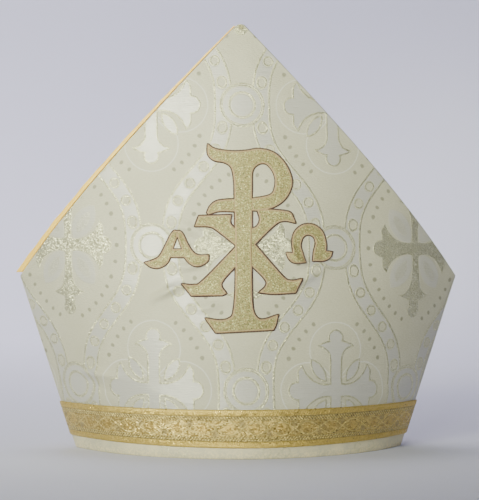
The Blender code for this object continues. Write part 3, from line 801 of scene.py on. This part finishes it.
# %% [markdown]
# ## The gold braid
# The braid is an inch wide and woven of flat metal thread: plain ribbed edges, a twisted line inside each,
# and between them two strands that cross again and again, with small dark eyes. Its coarse relief is in
# the mesh, a profile carried round the brow, and the fine threads are in the finish. Braid has some give,
# so its lower edge hangs a little lower in the middle of each panel.

# %% Braid finish
BRAID_HALF, STRAND_STEP, STRAND_SWING = 12.7, 19.0, 4.4
BRAID_OLIVE, BRAID_GOLD = rgb(0.34, 0.24, 0.065), rgb(0.70, 0.54, 0.18)
BRAID_WARM, BRAID_PALE_AND_PAINTED_HIGHLIGHT = rgb(0.60, 0.40, 0.09), rgb(0.90, 0.78, 0.30)
BRAID_DARK_AND_PAINTED_SHADE, BRAID_EDGE = rgb(0.24, 0.19, 0.08), rgb(0.67, 0.49, 0.11)


def make_braid_finish():
    """Along the braid is the first number of 'cloth', up it the second, both in millimetres. The strands
    are two sine waves that cross every 19 mm, and v is the height over the braid's middle line."""
    braid = Finish("gold_braid", {"Specular IOR Level": 0.5, "Sheen Weight": 0.12, "Sheen Roughness": 0.5})
    vector, along, up, _ = braid.place()
    v = up - BRAID_HALF - BAND_BOTTOM / MM
    side = abs(v)
    inner = side.below(5.5)
    swing = along.wave(2.0 * STRAND_STEP)
    place = along.fold(STRAND_STEP)
    cells, spark, lift, tint = thread_cells(braid, vector, 0.85, 1.35)
    crossing = most((v - STRAND_SWING * swing).line(0.0, 0.3), (v + STRAND_SWING * swing).line(0.0, 0.3))
    strands = crossing * inner * (0.35 + 0.65 * lift)
    eye = most(far(place, v - 3.4).below(2.2, 1.6), far(STRAND_STEP - place, v + 3.4).below(2.2, 1.6))
    warm = far(place - STRAND_STEP / 2.0, v).below(3.0, 3.0)
    edge = 1.0 - side.below(8.5, 0.3)
    rope = most(side.line(7.5, 0.5, 0.4), side.line(6.0, 0.45, 0.4))
    groove = side.line(8.5, 0.25, 0.4)
    ribs = (along + side * 0.4).wave(1.3) * 0.5 + 0.5
    twist = (along + side * 0.9).wave(2.2) * 0.5 + 0.5
    grain = noise(braid, braid.stretch(vector, 0.8, 1.0), 0.9, 1.0)
    gold = braid.mix(tint, BRAID_OLIVE, BRAID_GOLD)
    gold = braid.mix(warm * inner * 0.3, gold, BRAID_WARM)
    # Pale: the crossing strands' own pale thread, and a painted highlight on the crest of each twist of the
    # rope.
    gold = braid.mix(most(strands, rope * twist) * 0.7, gold, BRAID_PALE_AND_PAINTED_HIGHLIGHT)
    # Dark: the eyes' own dark thread, and painted shade in the groove and in the hollow of each twist of the
    # rope.
    gold = braid.mix(most(groove * 0.6, eye * 0.55, (1.0 - twist) * rope * 0.7), gold, BRAID_DARK_AND_PAINTED_SHADE)
    gold = braid.mix(edge * 0.6, gold, BRAID_EDGE)
    braid.shade("Base Color", gold)
    braid.shade("Metallic", 0.75 - eye * 0.4)
    braid.shade("Roughness", 0.60 - spark**3.0 * 0.34)
    relief = strands * 0.2 + ribs * edge * 0.1 + twist * rope * 0.3 - groove * 0.2 - eye * 0.15
    flat = side.below(11.0, 1.5)
    braid.bump(relief + (lift * 0.06 + grain * (0.15 - 0.1 * edge)) * flat, cells, flat * 0.52)
    return braid


braid_finish = make_braid_finish()
print("braid nodes:", len(braid_finish.tree.nodes))

# %% Braid hoop
BRAID_DIP, BRAID_THICKNESS = 0.0014, 0.75
SEAM_REACH, SEAM_ROUNDING = 0.0013, 0.0018


def make_braid():
    """A closed strip round the brow: its section runs up the outside over raised edges and a raised
    middle, and down the inside. At the side seams a hyperbolic tangent rounds the hoop, because thick
    braid won't crease. The dip is a cosine squared of the share of the panel's width."""
    v = np.concatenate([[0.0, 0.05], np.linspace(0.2, 25.2, 40), [25.35, 25.4]]) * MM
    side = np.abs(v / MM - BRAID_HALF)
    swell = 0.16 * smooth_step(side, 8.4, 9.0) + 0.14 * (1.0 - smooth_step(side, 6.2, 6.8))
    swell += 0.14 * np.exp(-(((side - 7.5) / 0.55) ** 2)) - 0.55 * smooth_step(side, 12.2, 12.7)
    outside = GAP + (BRAID_THICKNESS + swell) * MM
    height = (np.concatenate([v, v[::-4]]) + BAND_BOTTOM)[:, None]
    off = np.concatenate([outside, np.full(len(v[::-4]), GAP)])[:, None]
    shares = COLUMN_SHARES[:-1]
    lowness = (BAND_TOP - height) / (BAND_TOP - BAND_BOTTOM)
    z = height - BRAID_DIP * np.cos(np.pi / 2.0 * shares) ** 2 * lowness
    full = seam_length(z, 0.0, 0.0)
    blend = smooth_step(np.abs(shares), 0.9, 1.0)
    across = full * shares * (1.0 - blend) + seam_length(z, -off, 0.0) * shares * blend
    straight = seam_half_width(z) + SEAM_REACH - SEAM_ROUNDING
    halves, cloths = [], []
    for facing, seams_before in ((1.0, 0.0), (-1.0, 2.0)):
        ring = wrap(across, z, -off - cloth_relief(across, z, facing))
        reach = np.abs(ring[..., 0])
        over = np.clip(reach - straight, 0.0, None)
        rounded = straight + SEAM_ROUNDING * np.tanh(over / SEAM_ROUNDING)
        ring[..., 0] = np.sign(ring[..., 0]) * np.where(over > 0.0, rounded, reach)
        halves.append(ring * np.array([facing, facing, 1.0]))
        cloths.append(triples(across + seams_before * full, height, off) / MM)
    rings, cloth = np.concatenate(halves, axis=1), np.concatenate(cloths, axis=1)
    return make_piece("braid", *closed_tube(rings, cloth), (braid_finish,), "gold_braid")


braid = make_braid()
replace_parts(braid, "galloon_band")
girth = 4.0 * float(seam_length(BAND_BOTTOM + BRAID_HALF * MM, 0.0, 0.0))
print("braid girth", round(girth / MM), "mm")

# %% [markdown]
# ## The letters
# Chi and Rho, Alpha and Omega were embroidered by machine: a mottled fill of metal thread, a satin-stitched
# tan border round it, and a dark brown line outside. Their outlines are short lists of points on the flat
# cloth, each either a corner or smooth, and cubic curves join them. Letters of the text object would be
# quicker, but none has these shapes.

# %% Outlines of the letters: millimetres across and up
CORNER, SMOOTH = "corner", "smooth"
RHO_OUTLINE = (
    (-24.4, 226.2, CORNER), (-19.0, 222.6, SMOOTH), (-8.0, 220.9, SMOOTH), (3.0, 221.2, SMOOTH),
    (13.0, 222.6, SMOOTH), (24.0, 219.8, SMOOTH), (32.5, 211.5, SMOOTH), (37.1, 199.0, SMOOTH),
    (33.4, 188.0, SMOOTH), (25.0, 180.7, SMOOTH), (14.0, 177.6, SMOOTH), (7.7, 177.5, CORNER),
    (7.2, 128.0, SMOOTH), (7.9, 108.0, SMOOTH), (11.0, 100.5, SMOOTH), (16.0, 99.2, SMOOTH),
    (26.4, 102.4, CORNER), (24.6, 95.0, SMOOTH), (22.8, 91.4, CORNER), (-18.8, 89.4, CORNER),
    (-26.4, 100.0, CORNER), (-16.0, 98.6, SMOOTH), (-9.5, 99.9, SMOOTH), (-6.2, 105.0, SMOOTH),
    (-4.6, 128.0, SMOOTH), (-4.9, 176.8, CORNER), (-16.0, 176.9, SMOOTH), (-23.9, 174.6, CORNER),
    (-25.1, 175.9, CORNER), (-22.6, 181.0, SMOOTH), (-17.0, 184.8, SMOOTH), (-5.0, 185.9, CORNER),
    (-5.4, 199.0, SMOOTH), (-7.3, 208.5, SMOOTH), (-12.0, 212.3, SMOOTH), (-20.0, 214.1, SMOOTH),
    (-24.2, 218.5, SMOOTH),
)
RHO_COUNTER = (
    (7.6, 186.2, CORNER), (7.8, 196.0, SMOOTH), (8.2, 206.0, SMOOTH), (12.2, 211.0, SMOOTH),
    (18.2, 211.4, SMOOTH), (23.6, 204.5, SMOOTH), (24.5, 196.0, SMOOTH), (21.0, 189.2, SMOOTH),
)
RHO_STEM_SIDES = (((-4.9, 176.8), (-5.0, 185.9)), ((7.7, 177.5), (7.6, 186.2)))
CHI_OUTLINE = (
    (-31.0, 173.7, CORNER), (-7.2, 174.4, CORNER), (-7.9, 168.6, SMOOTH), (-4.0, 164.0, CORNER),
    (5.5, 164.0, CORNER), (10.8, 166.0, SMOOTH), (13.1, 171.2, SMOOTH), (11.0, 178.6, CORNER),
    (19.0, 178.6, CORNER), (34.2, 176.8, SMOOTH), (37.6, 173.0, SMOOTH), (39.5, 168.4, CORNER),
    (31.0, 169.9, SMOOTH), (24.0, 166.8, SMOOTH), (9.8, 153.0, CORNER), (29.6, 130.4, SMOOTH),
    (36.0, 126.9, SMOOTH), (43.8, 128.2, CORNER), (39.3, 118.0, CORNER), (24.0, 117.1, SMOOTH),
    (12.0, 118.3, CORNER), (17.0, 122.8, SMOOTH), (16.4, 128.0, SMOOTH), (5.0, 139.5, CORNER),
    (-2.8, 138.6, CORNER), (-12.6, 127.8, SMOOTH), (-14.4, 122.8, SMOOTH), (-10.8, 117.7, CORNER),
    (-14.0, 116.2, CORNER), (-36.4, 115.8, CORNER), (-43.4, 124.6, CORNER), (-35.0, 123.9, SMOOTH),
    (-28.0, 127.2, SMOOTH), (-3.8, 151.8, CORNER), (-17.0, 162.2, SMOOTH), (-23.0, 165.6, SMOOTH),
    (-33.9, 166.0, CORNER),
)
ALPHA_OUTLINE = (
    (-50.4, 161.9, SMOOTH), (-47.0, 162.7, SMOOTH), (-43.4, 161.8, SMOOTH), (-38.7, 152.8, SMOOTH),
    (-35.2, 147.8, SMOOTH), (-31.0, 145.3, SMOOTH), (-23.8, 145.5, CORNER), (-24.2, 141.0, SMOOTH),
    (-28.8, 137.7, SMOOTH), (-33.5, 137.2, SMOOTH), (-38.3, 139.8, SMOOTH), (-41.6, 143.6, CORNER),
    (-51.6, 143.6, CORNER), (-54.2, 139.0, SMOOTH), (-60.0, 135.8, SMOOTH), (-66.0, 136.4, SMOOTH),
    (-71.0, 139.8, CORNER), (-65.0, 141.6, SMOOTH), (-60.5, 143.9, SMOOTH), (-57.4, 148.6, SMOOTH),
)
ALPHA_COUNTER = ((-49.8, 149.6, CORNER), (-46.6, 158.6, CORNER), (-43.4, 149.6, CORNER))
OMEGA_OUTLINE = (
    (32.2, 147.0, CORNER), (36.8, 146.8, CORNER), (36.5, 155.0, SMOOTH), (38.6, 162.2, SMOOTH),
    (43.5, 166.7, SMOOTH), (49.0, 168.0, SMOOTH), (55.0, 166.5, SMOOTH), (60.0, 161.8, SMOOTH),
    (62.4, 154.0, SMOOTH), (62.3, 148.2, CORNER), (67.3, 147.6, CORNER), (65.4, 143.4, SMOOTH),
    (60.5, 141.0, SMOOTH), (52.0, 140.9, CORNER), (52.8, 148.0, SMOOTH), (54.2, 153.5, SMOOTH),
    (52.6, 158.3, SMOOTH), (48.4, 159.9, SMOOTH), (44.9, 157.8, SMOOTH), (43.2, 152.2, SMOOTH),
    (44.6, 147.0, SMOOTH), (46.6, 139.8, CORNER), (38.2, 139.5, SMOOTH), (34.2, 142.3, SMOOTH),
)


def outline_points(rows, step=0.9):
    """Points along a closed outline. A span is a cubic, t*t*(3 - 2t) from start to end plus the slopes'
    share, and the slope at a smooth point is half the step between its neighbours."""
    places = np.array([row[:2] for row in rows], float)
    smooth = np.array([row[2] == SMOOTH for row in rows])
    before, after = np.roll(places, 1, axis=0), np.roll(places, -1, axis=0)
    leaving = np.where(smooth[:, None], (after - before) / 2.0, after - places)
    arriving = np.where(smooth[:, None], (after - before) / 2.0, places - before)
    points = []
    for k, start in enumerate(places):
        end, slope_in = after[k], arriving[(k + 1) % len(rows)]
        steps = max(1, round(float(np.linalg.norm(end - start)) / step))
        t = (np.arange(steps) / steps)[:, None]
        curve = start * (2 * t**3 - 3 * t**2 + 1) + end * (3 * t**2 - 2 * t**3)
        points.append(curve + leaving[k] * (t**3 - 2 * t**2 + t) + slope_in * (t**3 - t**2))
    return np.concatenate(points)


def inside(points, outline):
    """Whether points lie inside a closed outline: a level ray crosses it an odd number of times."""
    x, y = points[:, 0, None], points[:, 1, None]
    x0, y0 = outline.T
    x1, y1 = np.roll(outline, -1, axis=0).T
    rising = np.where(y1 == y0, 1.0, y1 - y0)
    crosses = ((y0 > y) != (y1 > y)) & (x < (x1 - x0) * (y - y0) / rising + x0)
    return crosses.sum(axis=1) % 2 == 1


def distance_to(points, starts, ends):
    """Distance from each point to the nearest of these segments: drop a foot on each, held to its ends."""
    way = ends - starts
    share = ((points[:, None] - starts) * way).sum(-1) / (way * way).sum(-1)
    foot = starts + np.clip(share, 0.0, 1.0)[..., None] * way
    return np.linalg.norm(points[:, None] - foot, axis=-1).min(axis=1)


rho, rho_hole, chi, alpha, alpha_hole, omega = (
    outline_points(rows)
    for rows in (RHO_OUTLINE, RHO_COUNTER, CHI_OUTLINE, ALPHA_OUTLINE, ALPHA_COUNTER, OMEGA_OUTLINE)
)
print("points on the outlines:", [len(loop) for loop in (rho, rho_hole, chi, alpha, alpha_hole, omega)])

# %% [markdown]
# A letter's height comes from one number, how far a point lies inside the outline: first the border's
# round ridge, just over a millimetre wide, then the fill, a little lower. So the mesh needs points at
# chosen distances from the outline. Rings of points inside each outline and a loose grid in its middle are
# joined into triangles by a Delaunay triangulation that keeps to the outline.

# %% Letter meshes
BORDER, BORDER_START, BORDER_RISE = 1.15, 0.45, 0.62  # its width, its height at both sides, its ridge's rise
FILL_START, FILL_RISE, FILL_REACH = 0.72, 0.30, 1.6
RING_DEPTHS = (0.25, 0.58, 0.90, 1.25)
GRID_ACROSS, GRID_UP, GRID_DEPTH = 1.6, 1.4, 2.1
UNDERSIDE, DIVE = 0.03, 0.12  # heights over the cloth of a letter's underside and of a thread beneath one


def segments(loops):
    """Starts and ends of all the spans of these closed outlines."""
    return np.concatenate(loops), np.concatenate([np.roll(loop, -1, axis=0) for loop in loops])


def within(points, loops):
    """Whether points lie inside the first outline and outside its holes."""
    filled = inside(points, loops[0])
    for hole in loops[1:]:
        filled &= ~inside(points, hole)
    return filled


def letter_points(loops):
    """The outline's own points, rings at chosen distances inside it, and a staggered grid in the middle."""
    starts, ends = segments(loops)
    normal = unit(np.stack([-(ends - starts)[:, 1], (ends - starts)[:, 0]], axis=-1))
    middle = (starts + ends) / 2.0
    rings = [middle + sign * depth * normal for depth in RING_DEPTHS for sign in (1.0, -1.0)]
    aims = np.repeat(np.repeat(RING_DEPTHS, 2), len(middle))
    low, high = starts.min(axis=0), starts.max(axis=0)
    x, y = np.meshgrid(np.arange(low[0], high[0], GRID_ACROSS), np.arange(low[1], high[1], GRID_UP))
    shift = GRID_ACROSS / 2.0 * (np.arange(len(x)) % 2)[:, None]
    grid = np.stack([x + shift, y], axis=-1).reshape(-1, 2)
    points = np.concatenate([*rings, grid])
    filled = within(points, loops)
    aims = np.concatenate([aims, np.full(len(grid), np.inf)])[filled]
    points = points[filled]
    depth = distance_to(points, starts, ends)
    keep = np.where(np.isinf(aims), depth > GRID_DEPTH, np.abs(depth - aims) < 0.1)
    return np.concatenate([starts, points[keep]])


def letter_mesh(loops, extra=(), lift=0.0):
    """Triangles of one letter and its points' heights over the cloth and depths inside the outline. The
    border is a half circle of the depth, and the fill rises to its level by an exponential. 'extra' lines
    get a border too, as over the Rho's stem. Slivers between three outline points in one straight line
    lie outside it, whatever rounding says of their middles."""
    points = letter_points(loops)
    sizes = np.cumsum([0] + [len(loop) for loop in loops])
    edges = []
    for first, last in zip(sizes[:-1], sizes[1:]):
        edges += [(k, k + 1 if k + 1 < last else first) for k in range(first, last)]
    flat, _, triangles, *_ = delaunay_2d_cdt([Vector(point) for point in points], edges, [], 0, 1e-5)
    flat, triangles = np.array([tuple(point) for point in flat]), np.array(triangles)
    one, two, three = flat[triangles[:, 0]], flat[triangles[:, 1]], flat[triangles[:, 2]]
    way, turn = two - one, three - one
    slivers = np.abs(way[:, 0] * turn[:, 1] - way[:, 1] * turn[:, 0]) < 0.001
    filled = within(flat[triangles].mean(axis=1), loops) & ~slivers
    used, triangles = np.unique(triangles[filled], return_inverse=True)
    flat, triangles = flat[used], triangles.reshape(-1, 3)
    depth = distance_to(flat, *segments(loops))
    if extra:
        lines = np.array(extra)
        depth = np.minimum(depth, BORDER / 2.0 + distance_to(flat, lines[:, 0], lines[:, 1]))
    ridge = np.sqrt(np.clip(1.0 - ((depth - BORDER / 2.0) / (BORDER / 2.0)) ** 2, 0.0, 1.0))
    fill = FILL_START + FILL_RISE * (1.0 - np.exp(-np.clip(depth - BORDER, 0.0, None) / FILL_REACH))
    height = lift + np.where(depth < BORDER, BORDER_START + BORDER_RISE * ridge, fill)
    return flat, triangles, height, depth


def lay_on_front(flat, height):
    """Bend flat points, in millimetres, on to the front panel, this many millimetres over the cloth."""
    across, up = flat[..., 0] * MM, flat[..., 1] * MM
    return wrap(across, up, -(height * MM + cloth_relief(across, up)))


def closed_letter(loops, extra=(), lift=0.0):
    """Face, underside and wall of one letter, and its points' places with their depth inside."""
    flat, triangles, height, depth = letter_mesh(loops, extra, lift)
    count = len(flat)
    pairs = np.concatenate([triangles[:, [0, 1]], triangles[:, [1, 2]], triangles[:, [2, 0]]])
    keys, mirrored = pairs[:, 0] * count + pairs[:, 1], pairs[:, 1] * count + pairs[:, 0]
    border = pairs[~np.isin(keys, mirrored)]
    walls = np.stack([border[:, 0] + count, border[:, 1] + count, border[:, 1], border[:, 0]], axis=-1)
    faces = [*triangles.tolist(), *(triangles[:, ::-1] + count).tolist(), *walls.tolist()]
    points = np.concatenate([lay_on_front(flat, height), lay_on_front(flat, UNDERSIDE)])
    cloth = np.column_stack([np.concatenate([flat, flat]), np.concatenate([depth, depth])])
    return points, faces, cloth


def joined(parts):
    """Several meshes as one: their points follow each other and their faces count on."""
    points, faces, cloths, count = [], [], [], 0
    for part_points, part_faces, part_cloth in parts:
        points.append(part_points)
        cloths.append(part_cloth)
        faces += [[count + corner for corner in face] for face in part_faces]
        count += len(part_points)
    return np.concatenate(points), faces, np.concatenate(cloths)


def edge_thread(loop, radius, height, others=()):
    """A thread laid along a closed outline, just outside it: a six-sided section carried along the path.
    Where the outline runs under or over another letter it dives below that letter's face."""
    way = unit(np.roll(loop, -1, axis=0) - np.roll(loop, 1, axis=0))
    normal = np.stack([-way[:, 1], way[:, 0]], axis=-1)
    level = np.full(len(loop), height)
    for other in others:
        level = np.where(inside(loop, other), DIVE, level)
    turn = np.linspace(0.0, 2.0 * np.pi, 7)[:-1]
    out, up = radius * np.cos(turn), radius * np.sin(turn)
    wobble = 1.0 + 0.12 * np.sin(np.arange(len(loop)) * 2.4)[:, None]
    flat = loop[:, None] + normal[:, None] * (out * wobble + 0.6 * radius)[..., None]
    rings = lay_on_front(flat, level[:, None] + up * wobble)
    cloth = triples(np.arange(len(loop))[:, None] * 0.9, turn * radius, 0.0)
    points, faces, cloth = closed_tube(rings, cloth)
    return points, faces.tolist(), cloth


print("letter helpers ready")

# %% [markdown]
# The finish of the embroidery reads the same depth: near the outline it is the tan border with its fine
# stitches, and further in it is the mottled fill of gold, olive and pale metal thread, whose rare palest
# stitches are also a painted glint.

# %% Embroidery finishes
FILL_DARK, FILL_LIGHT = rgb(0.15, 0.150, 0.055), rgb(0.41, 0.38, 0.14)
FILL_WARM, FILL_PALE_AND_PAINTED_GLINT = rgb(0.44, 0.33, 0.14), rgb(0.80, 0.82, 0.38)
BORDER_DARK, BORDER_LIGHT = rgb(0.38, 0.27, 0.13), rgb(0.50, 0.37, 0.19)


def make_embroidery():
    """Border and fill by the depth inside the outline, the third number of 'cloth'."""
    work = Finish("gold_embroidery", {"Specular IOR Level": 0.5})
    vector, s, z, depth = work.place()
    border = depth.below(BORDER, 0.3)
    _, spark, lift, tint = thread_cells(work, vector, 0.62, 1.2)
    mottle = noise(work, vector, 1.3, 2.0)
    fill = work.mix(tint, FILL_DARK, FILL_LIGHT)
    fill = work.mix(mottle * 2.4 - 0.95, fill, FILL_WARM)
    # The rarest cells turn pale yellow: pale thread and a painted glint at once.
    fill = work.mix(spark**8.0 * 0.8, fill, FILL_PALE_AND_PAINTED_GLINT)
    edge = work.mix(mottle * 2.0 - 0.5, BORDER_DARK, BORDER_LIGHT)
    stitches = ((s + z) * 5.5).math("SINE") * ((s - z) * 5.5).math("SINE")
    work.shade("Base Color", work.mix(border, fill, edge))
    work.shade("Metallic", 0.25 - border * 0.15)
    work.shade("Roughness", 0.62 - spark * 0.2)
    work.bump((lift * 0.45 + mottle * 0.3) * (1.0 - border) + mottle * 0.1 + stitches * border * 0.06)
    return work


def make_thread(name, colour, shadow):
    """Plain spun thread, lighter and darker along its twist."""
    thread = Finish(name, {"Sheen Weight": 0.2})
    _, along, around, _ = thread.place()
    twist = (along + around * 0.8).wave(1.1) * 0.5 + 0.5
    thread.shade("Base Color", thread.mix(twist, shadow, colour))
    thread.shade("Roughness", 0.62 - twist * 0.12)
    thread.bump(twist * 0.12)
    return thread


embroidery = make_embroidery()
brown_thread = make_thread("brown_thread", rgb(0.085, 0.036, 0.030), rgb(0.045, 0.020, 0.016))
knot_thread = make_thread("knot_thread", rgb(0.72, 0.66, 0.38), rgb(0.42, 0.40, 0.20))
print("embroidery nodes:", len(embroidery.tree.nodes))

# %% The letters in place
RHO_OVER_CHI = 0.45
chi_and_rho = joined([closed_letter([chi]), closed_letter([rho, rho_hole], RHO_STEM_SIDES, RHO_OVER_CHI)])
chi_rho = make_piece("chi_rho_embroidery", *chi_and_rho, (embroidery,), "gold_embroidery")
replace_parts(chi_rho, "chi_rho")
small_alpha = make_piece(
    "alpha_embroidery", *closed_letter([alpha, alpha_hole]), (embroidery,), "gold_embroidery"
)
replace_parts(small_alpha, "alpha")
small_omega = make_piece("omega_embroidery", *closed_letter([omega]), (embroidery,), "gold_embroidery")
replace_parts(small_omega, "omega")
threads = joined([
    edge_thread(rho, 0.54, 0.60, (chi,)), edge_thread(rho_hole[::-1], 0.46, 0.5),
    edge_thread(chi, 0.54, 0.5, (rho,)), edge_thread(alpha, 0.48, 0.45),
    edge_thread(alpha_hole[::-1], 0.34, 0.4), edge_thread(omega, 0.48, 0.45),
])
make_piece("letter_outlines", *threads, (brown_thread,), "gold_embroidery")

# %% [markdown]
# ## The stitches at the tip
# A knot of thread fastens the front horn's tip, where panel and lining meet. It is a trefoil path with a
# round section, small enough that a few dozen sections do.

# %% Tip knot
KNOT_HEIGHT, KNOT_OUT = 0.3128, 0.0004


def make_knot(centre, ring, swing, radius):
    """A thread along a trefoil: it goes twice round a ring while it swings in and out three times."""
    t = np.linspace(0.0, 2.0 * np.pi, 61)[:-1]
    reach, out = ring + swing * np.cos(3.0 * t), swing * 0.8 * np.sin(3.0 * t)
    path = np.stack([reach * np.cos(2.0 * t), out, reach * np.sin(2.0 * t)], axis=-1)
    way = unit(np.roll(path, -1, axis=0) - np.roll(path, 1, axis=0))
    side = unit(np.cross(way, path))
    up = np.cross(way, side)
    turn = np.linspace(0.0, 2.0 * np.pi, 9)[:-1, None]
    rings = path[:, None] + radius * (np.cos(turn) * side[:, None] + np.sin(turn) * up[:, None])
    cloth = triples(t[:, None] * 2.0, turn.T * 0.3, 0.0)
    make_piece("tip_knot", *closed_tube(rings * MM + centre, cloth), (knot_thread,), "gold_embroidery")


make_knot(wrap(0.0, KNOT_HEIGHT, -KNOT_OUT), ring=1.15, swing=0.55, radius=0.32)

# %% [markdown]
# ## Stage and light
# The mitre stands in a round studio sweep: a pale floor that curves up into a wall all round, so no horizon
# shows from any side. A straight backdrop would be simpler, but it would hide the mitre from behind. A soft
# key light from the upper left draws the relief and makes the metal thread glitter, a narrow weak light
# beside the camera lifts the middle, and a large one behind lights the sweep, which gives the shade its
# light back. The cream cloth falls off gently to the right.

# %% Stage and lights


def make_stage():
    """A profile of floor, quarter circle and wall, turned once round: each point (r, z) becomes the circle
    (r cos a, r sin a, z)."""
    flat, bend, top = 1.35, 0.65, 2.6
    turn = np.linspace(0.0, np.pi / 2.0, 17)
    reach = np.concatenate([[0.02, 0.7], flat + bend * np.sin(turn), [flat + bend]])[:, None]
    rise = np.concatenate([[0.0, 0.0], bend * (1.0 - np.cos(turn)), [top]])[:, None]
    angle = np.linspace(0.0, 2.0 * np.pi, 97)[:-1]
    rings = triples(reach * np.cos(angle), reach * np.sin(angle), rise)
    faces = tube_quads(len(reach), len(angle))[:, [0, 3, 2, 1]].tolist()
    faces.append(list(range(len(angle))))
    mesh = bpy.data.meshes.new("stage")
    mesh.from_pydata(rings.reshape(-1, 3).tolist(), [], faces)
    constants = {"Base Color": rgb(0.67, 0.68, 0.79), "Roughness": 0.9, "Specular IOR Level": 0.2}
    mesh.materials.append(Finish("stage_paper", constants).material)
    mesh.shade_smooth()
    floor = bpy.data.objects.new("stage", mesh)
    bpy.context.collection.objects.link(floor)


def make_light(name, place, aim, size, power, colour, spread):
    """A square area light at 'place' that looks at 'aim' and weakens to the sides within 'spread' degrees."""
    data = bpy.data.lights.new(name, "AREA")
    data.shape, data.size, data.energy, data.color = "SQUARE", size, power, colour
    data.spread = math.radians(spread)
    lamp = bpy.data.objects.new(name, data)
    lamp.location = place
    lamp.rotation_euler = (Vector(aim) - Vector(place)).to_track_quat("-Z", "Y").to_euler()
    lamp.visible_camera = False
    bpy.context.collection.objects.link(lamp)


make_stage()
make_light("key", (-0.72, -1.05, 0.78), (-0.11, 0.0, 0.24), 0.5, 1.5, (0.97, 1.0, 0.77), 52.0)
make_light("front", (-0.45, -1.16, 0.36), (-0.035, 0.0, 0.235), 0.4, 0.82, (0.98, 1.0, 0.79), 24.0)
make_light("above", (-0.5, 0.7, 2.3), (-0.6, 1.6, 0.65), 1.4, 39.0, (1.0, 0.965, 0.99), 115.0)
world = bpy.data.worlds.new("studio")
world.use_nodes = True
background = world.node_tree.nodes["Background"].inputs
background["Color"].default_value = rgb(0.97, 0.94, 1.0)
background["Strength"].default_value = 0.03
bpy.context.scene.world = world
print("stage and lights ready")
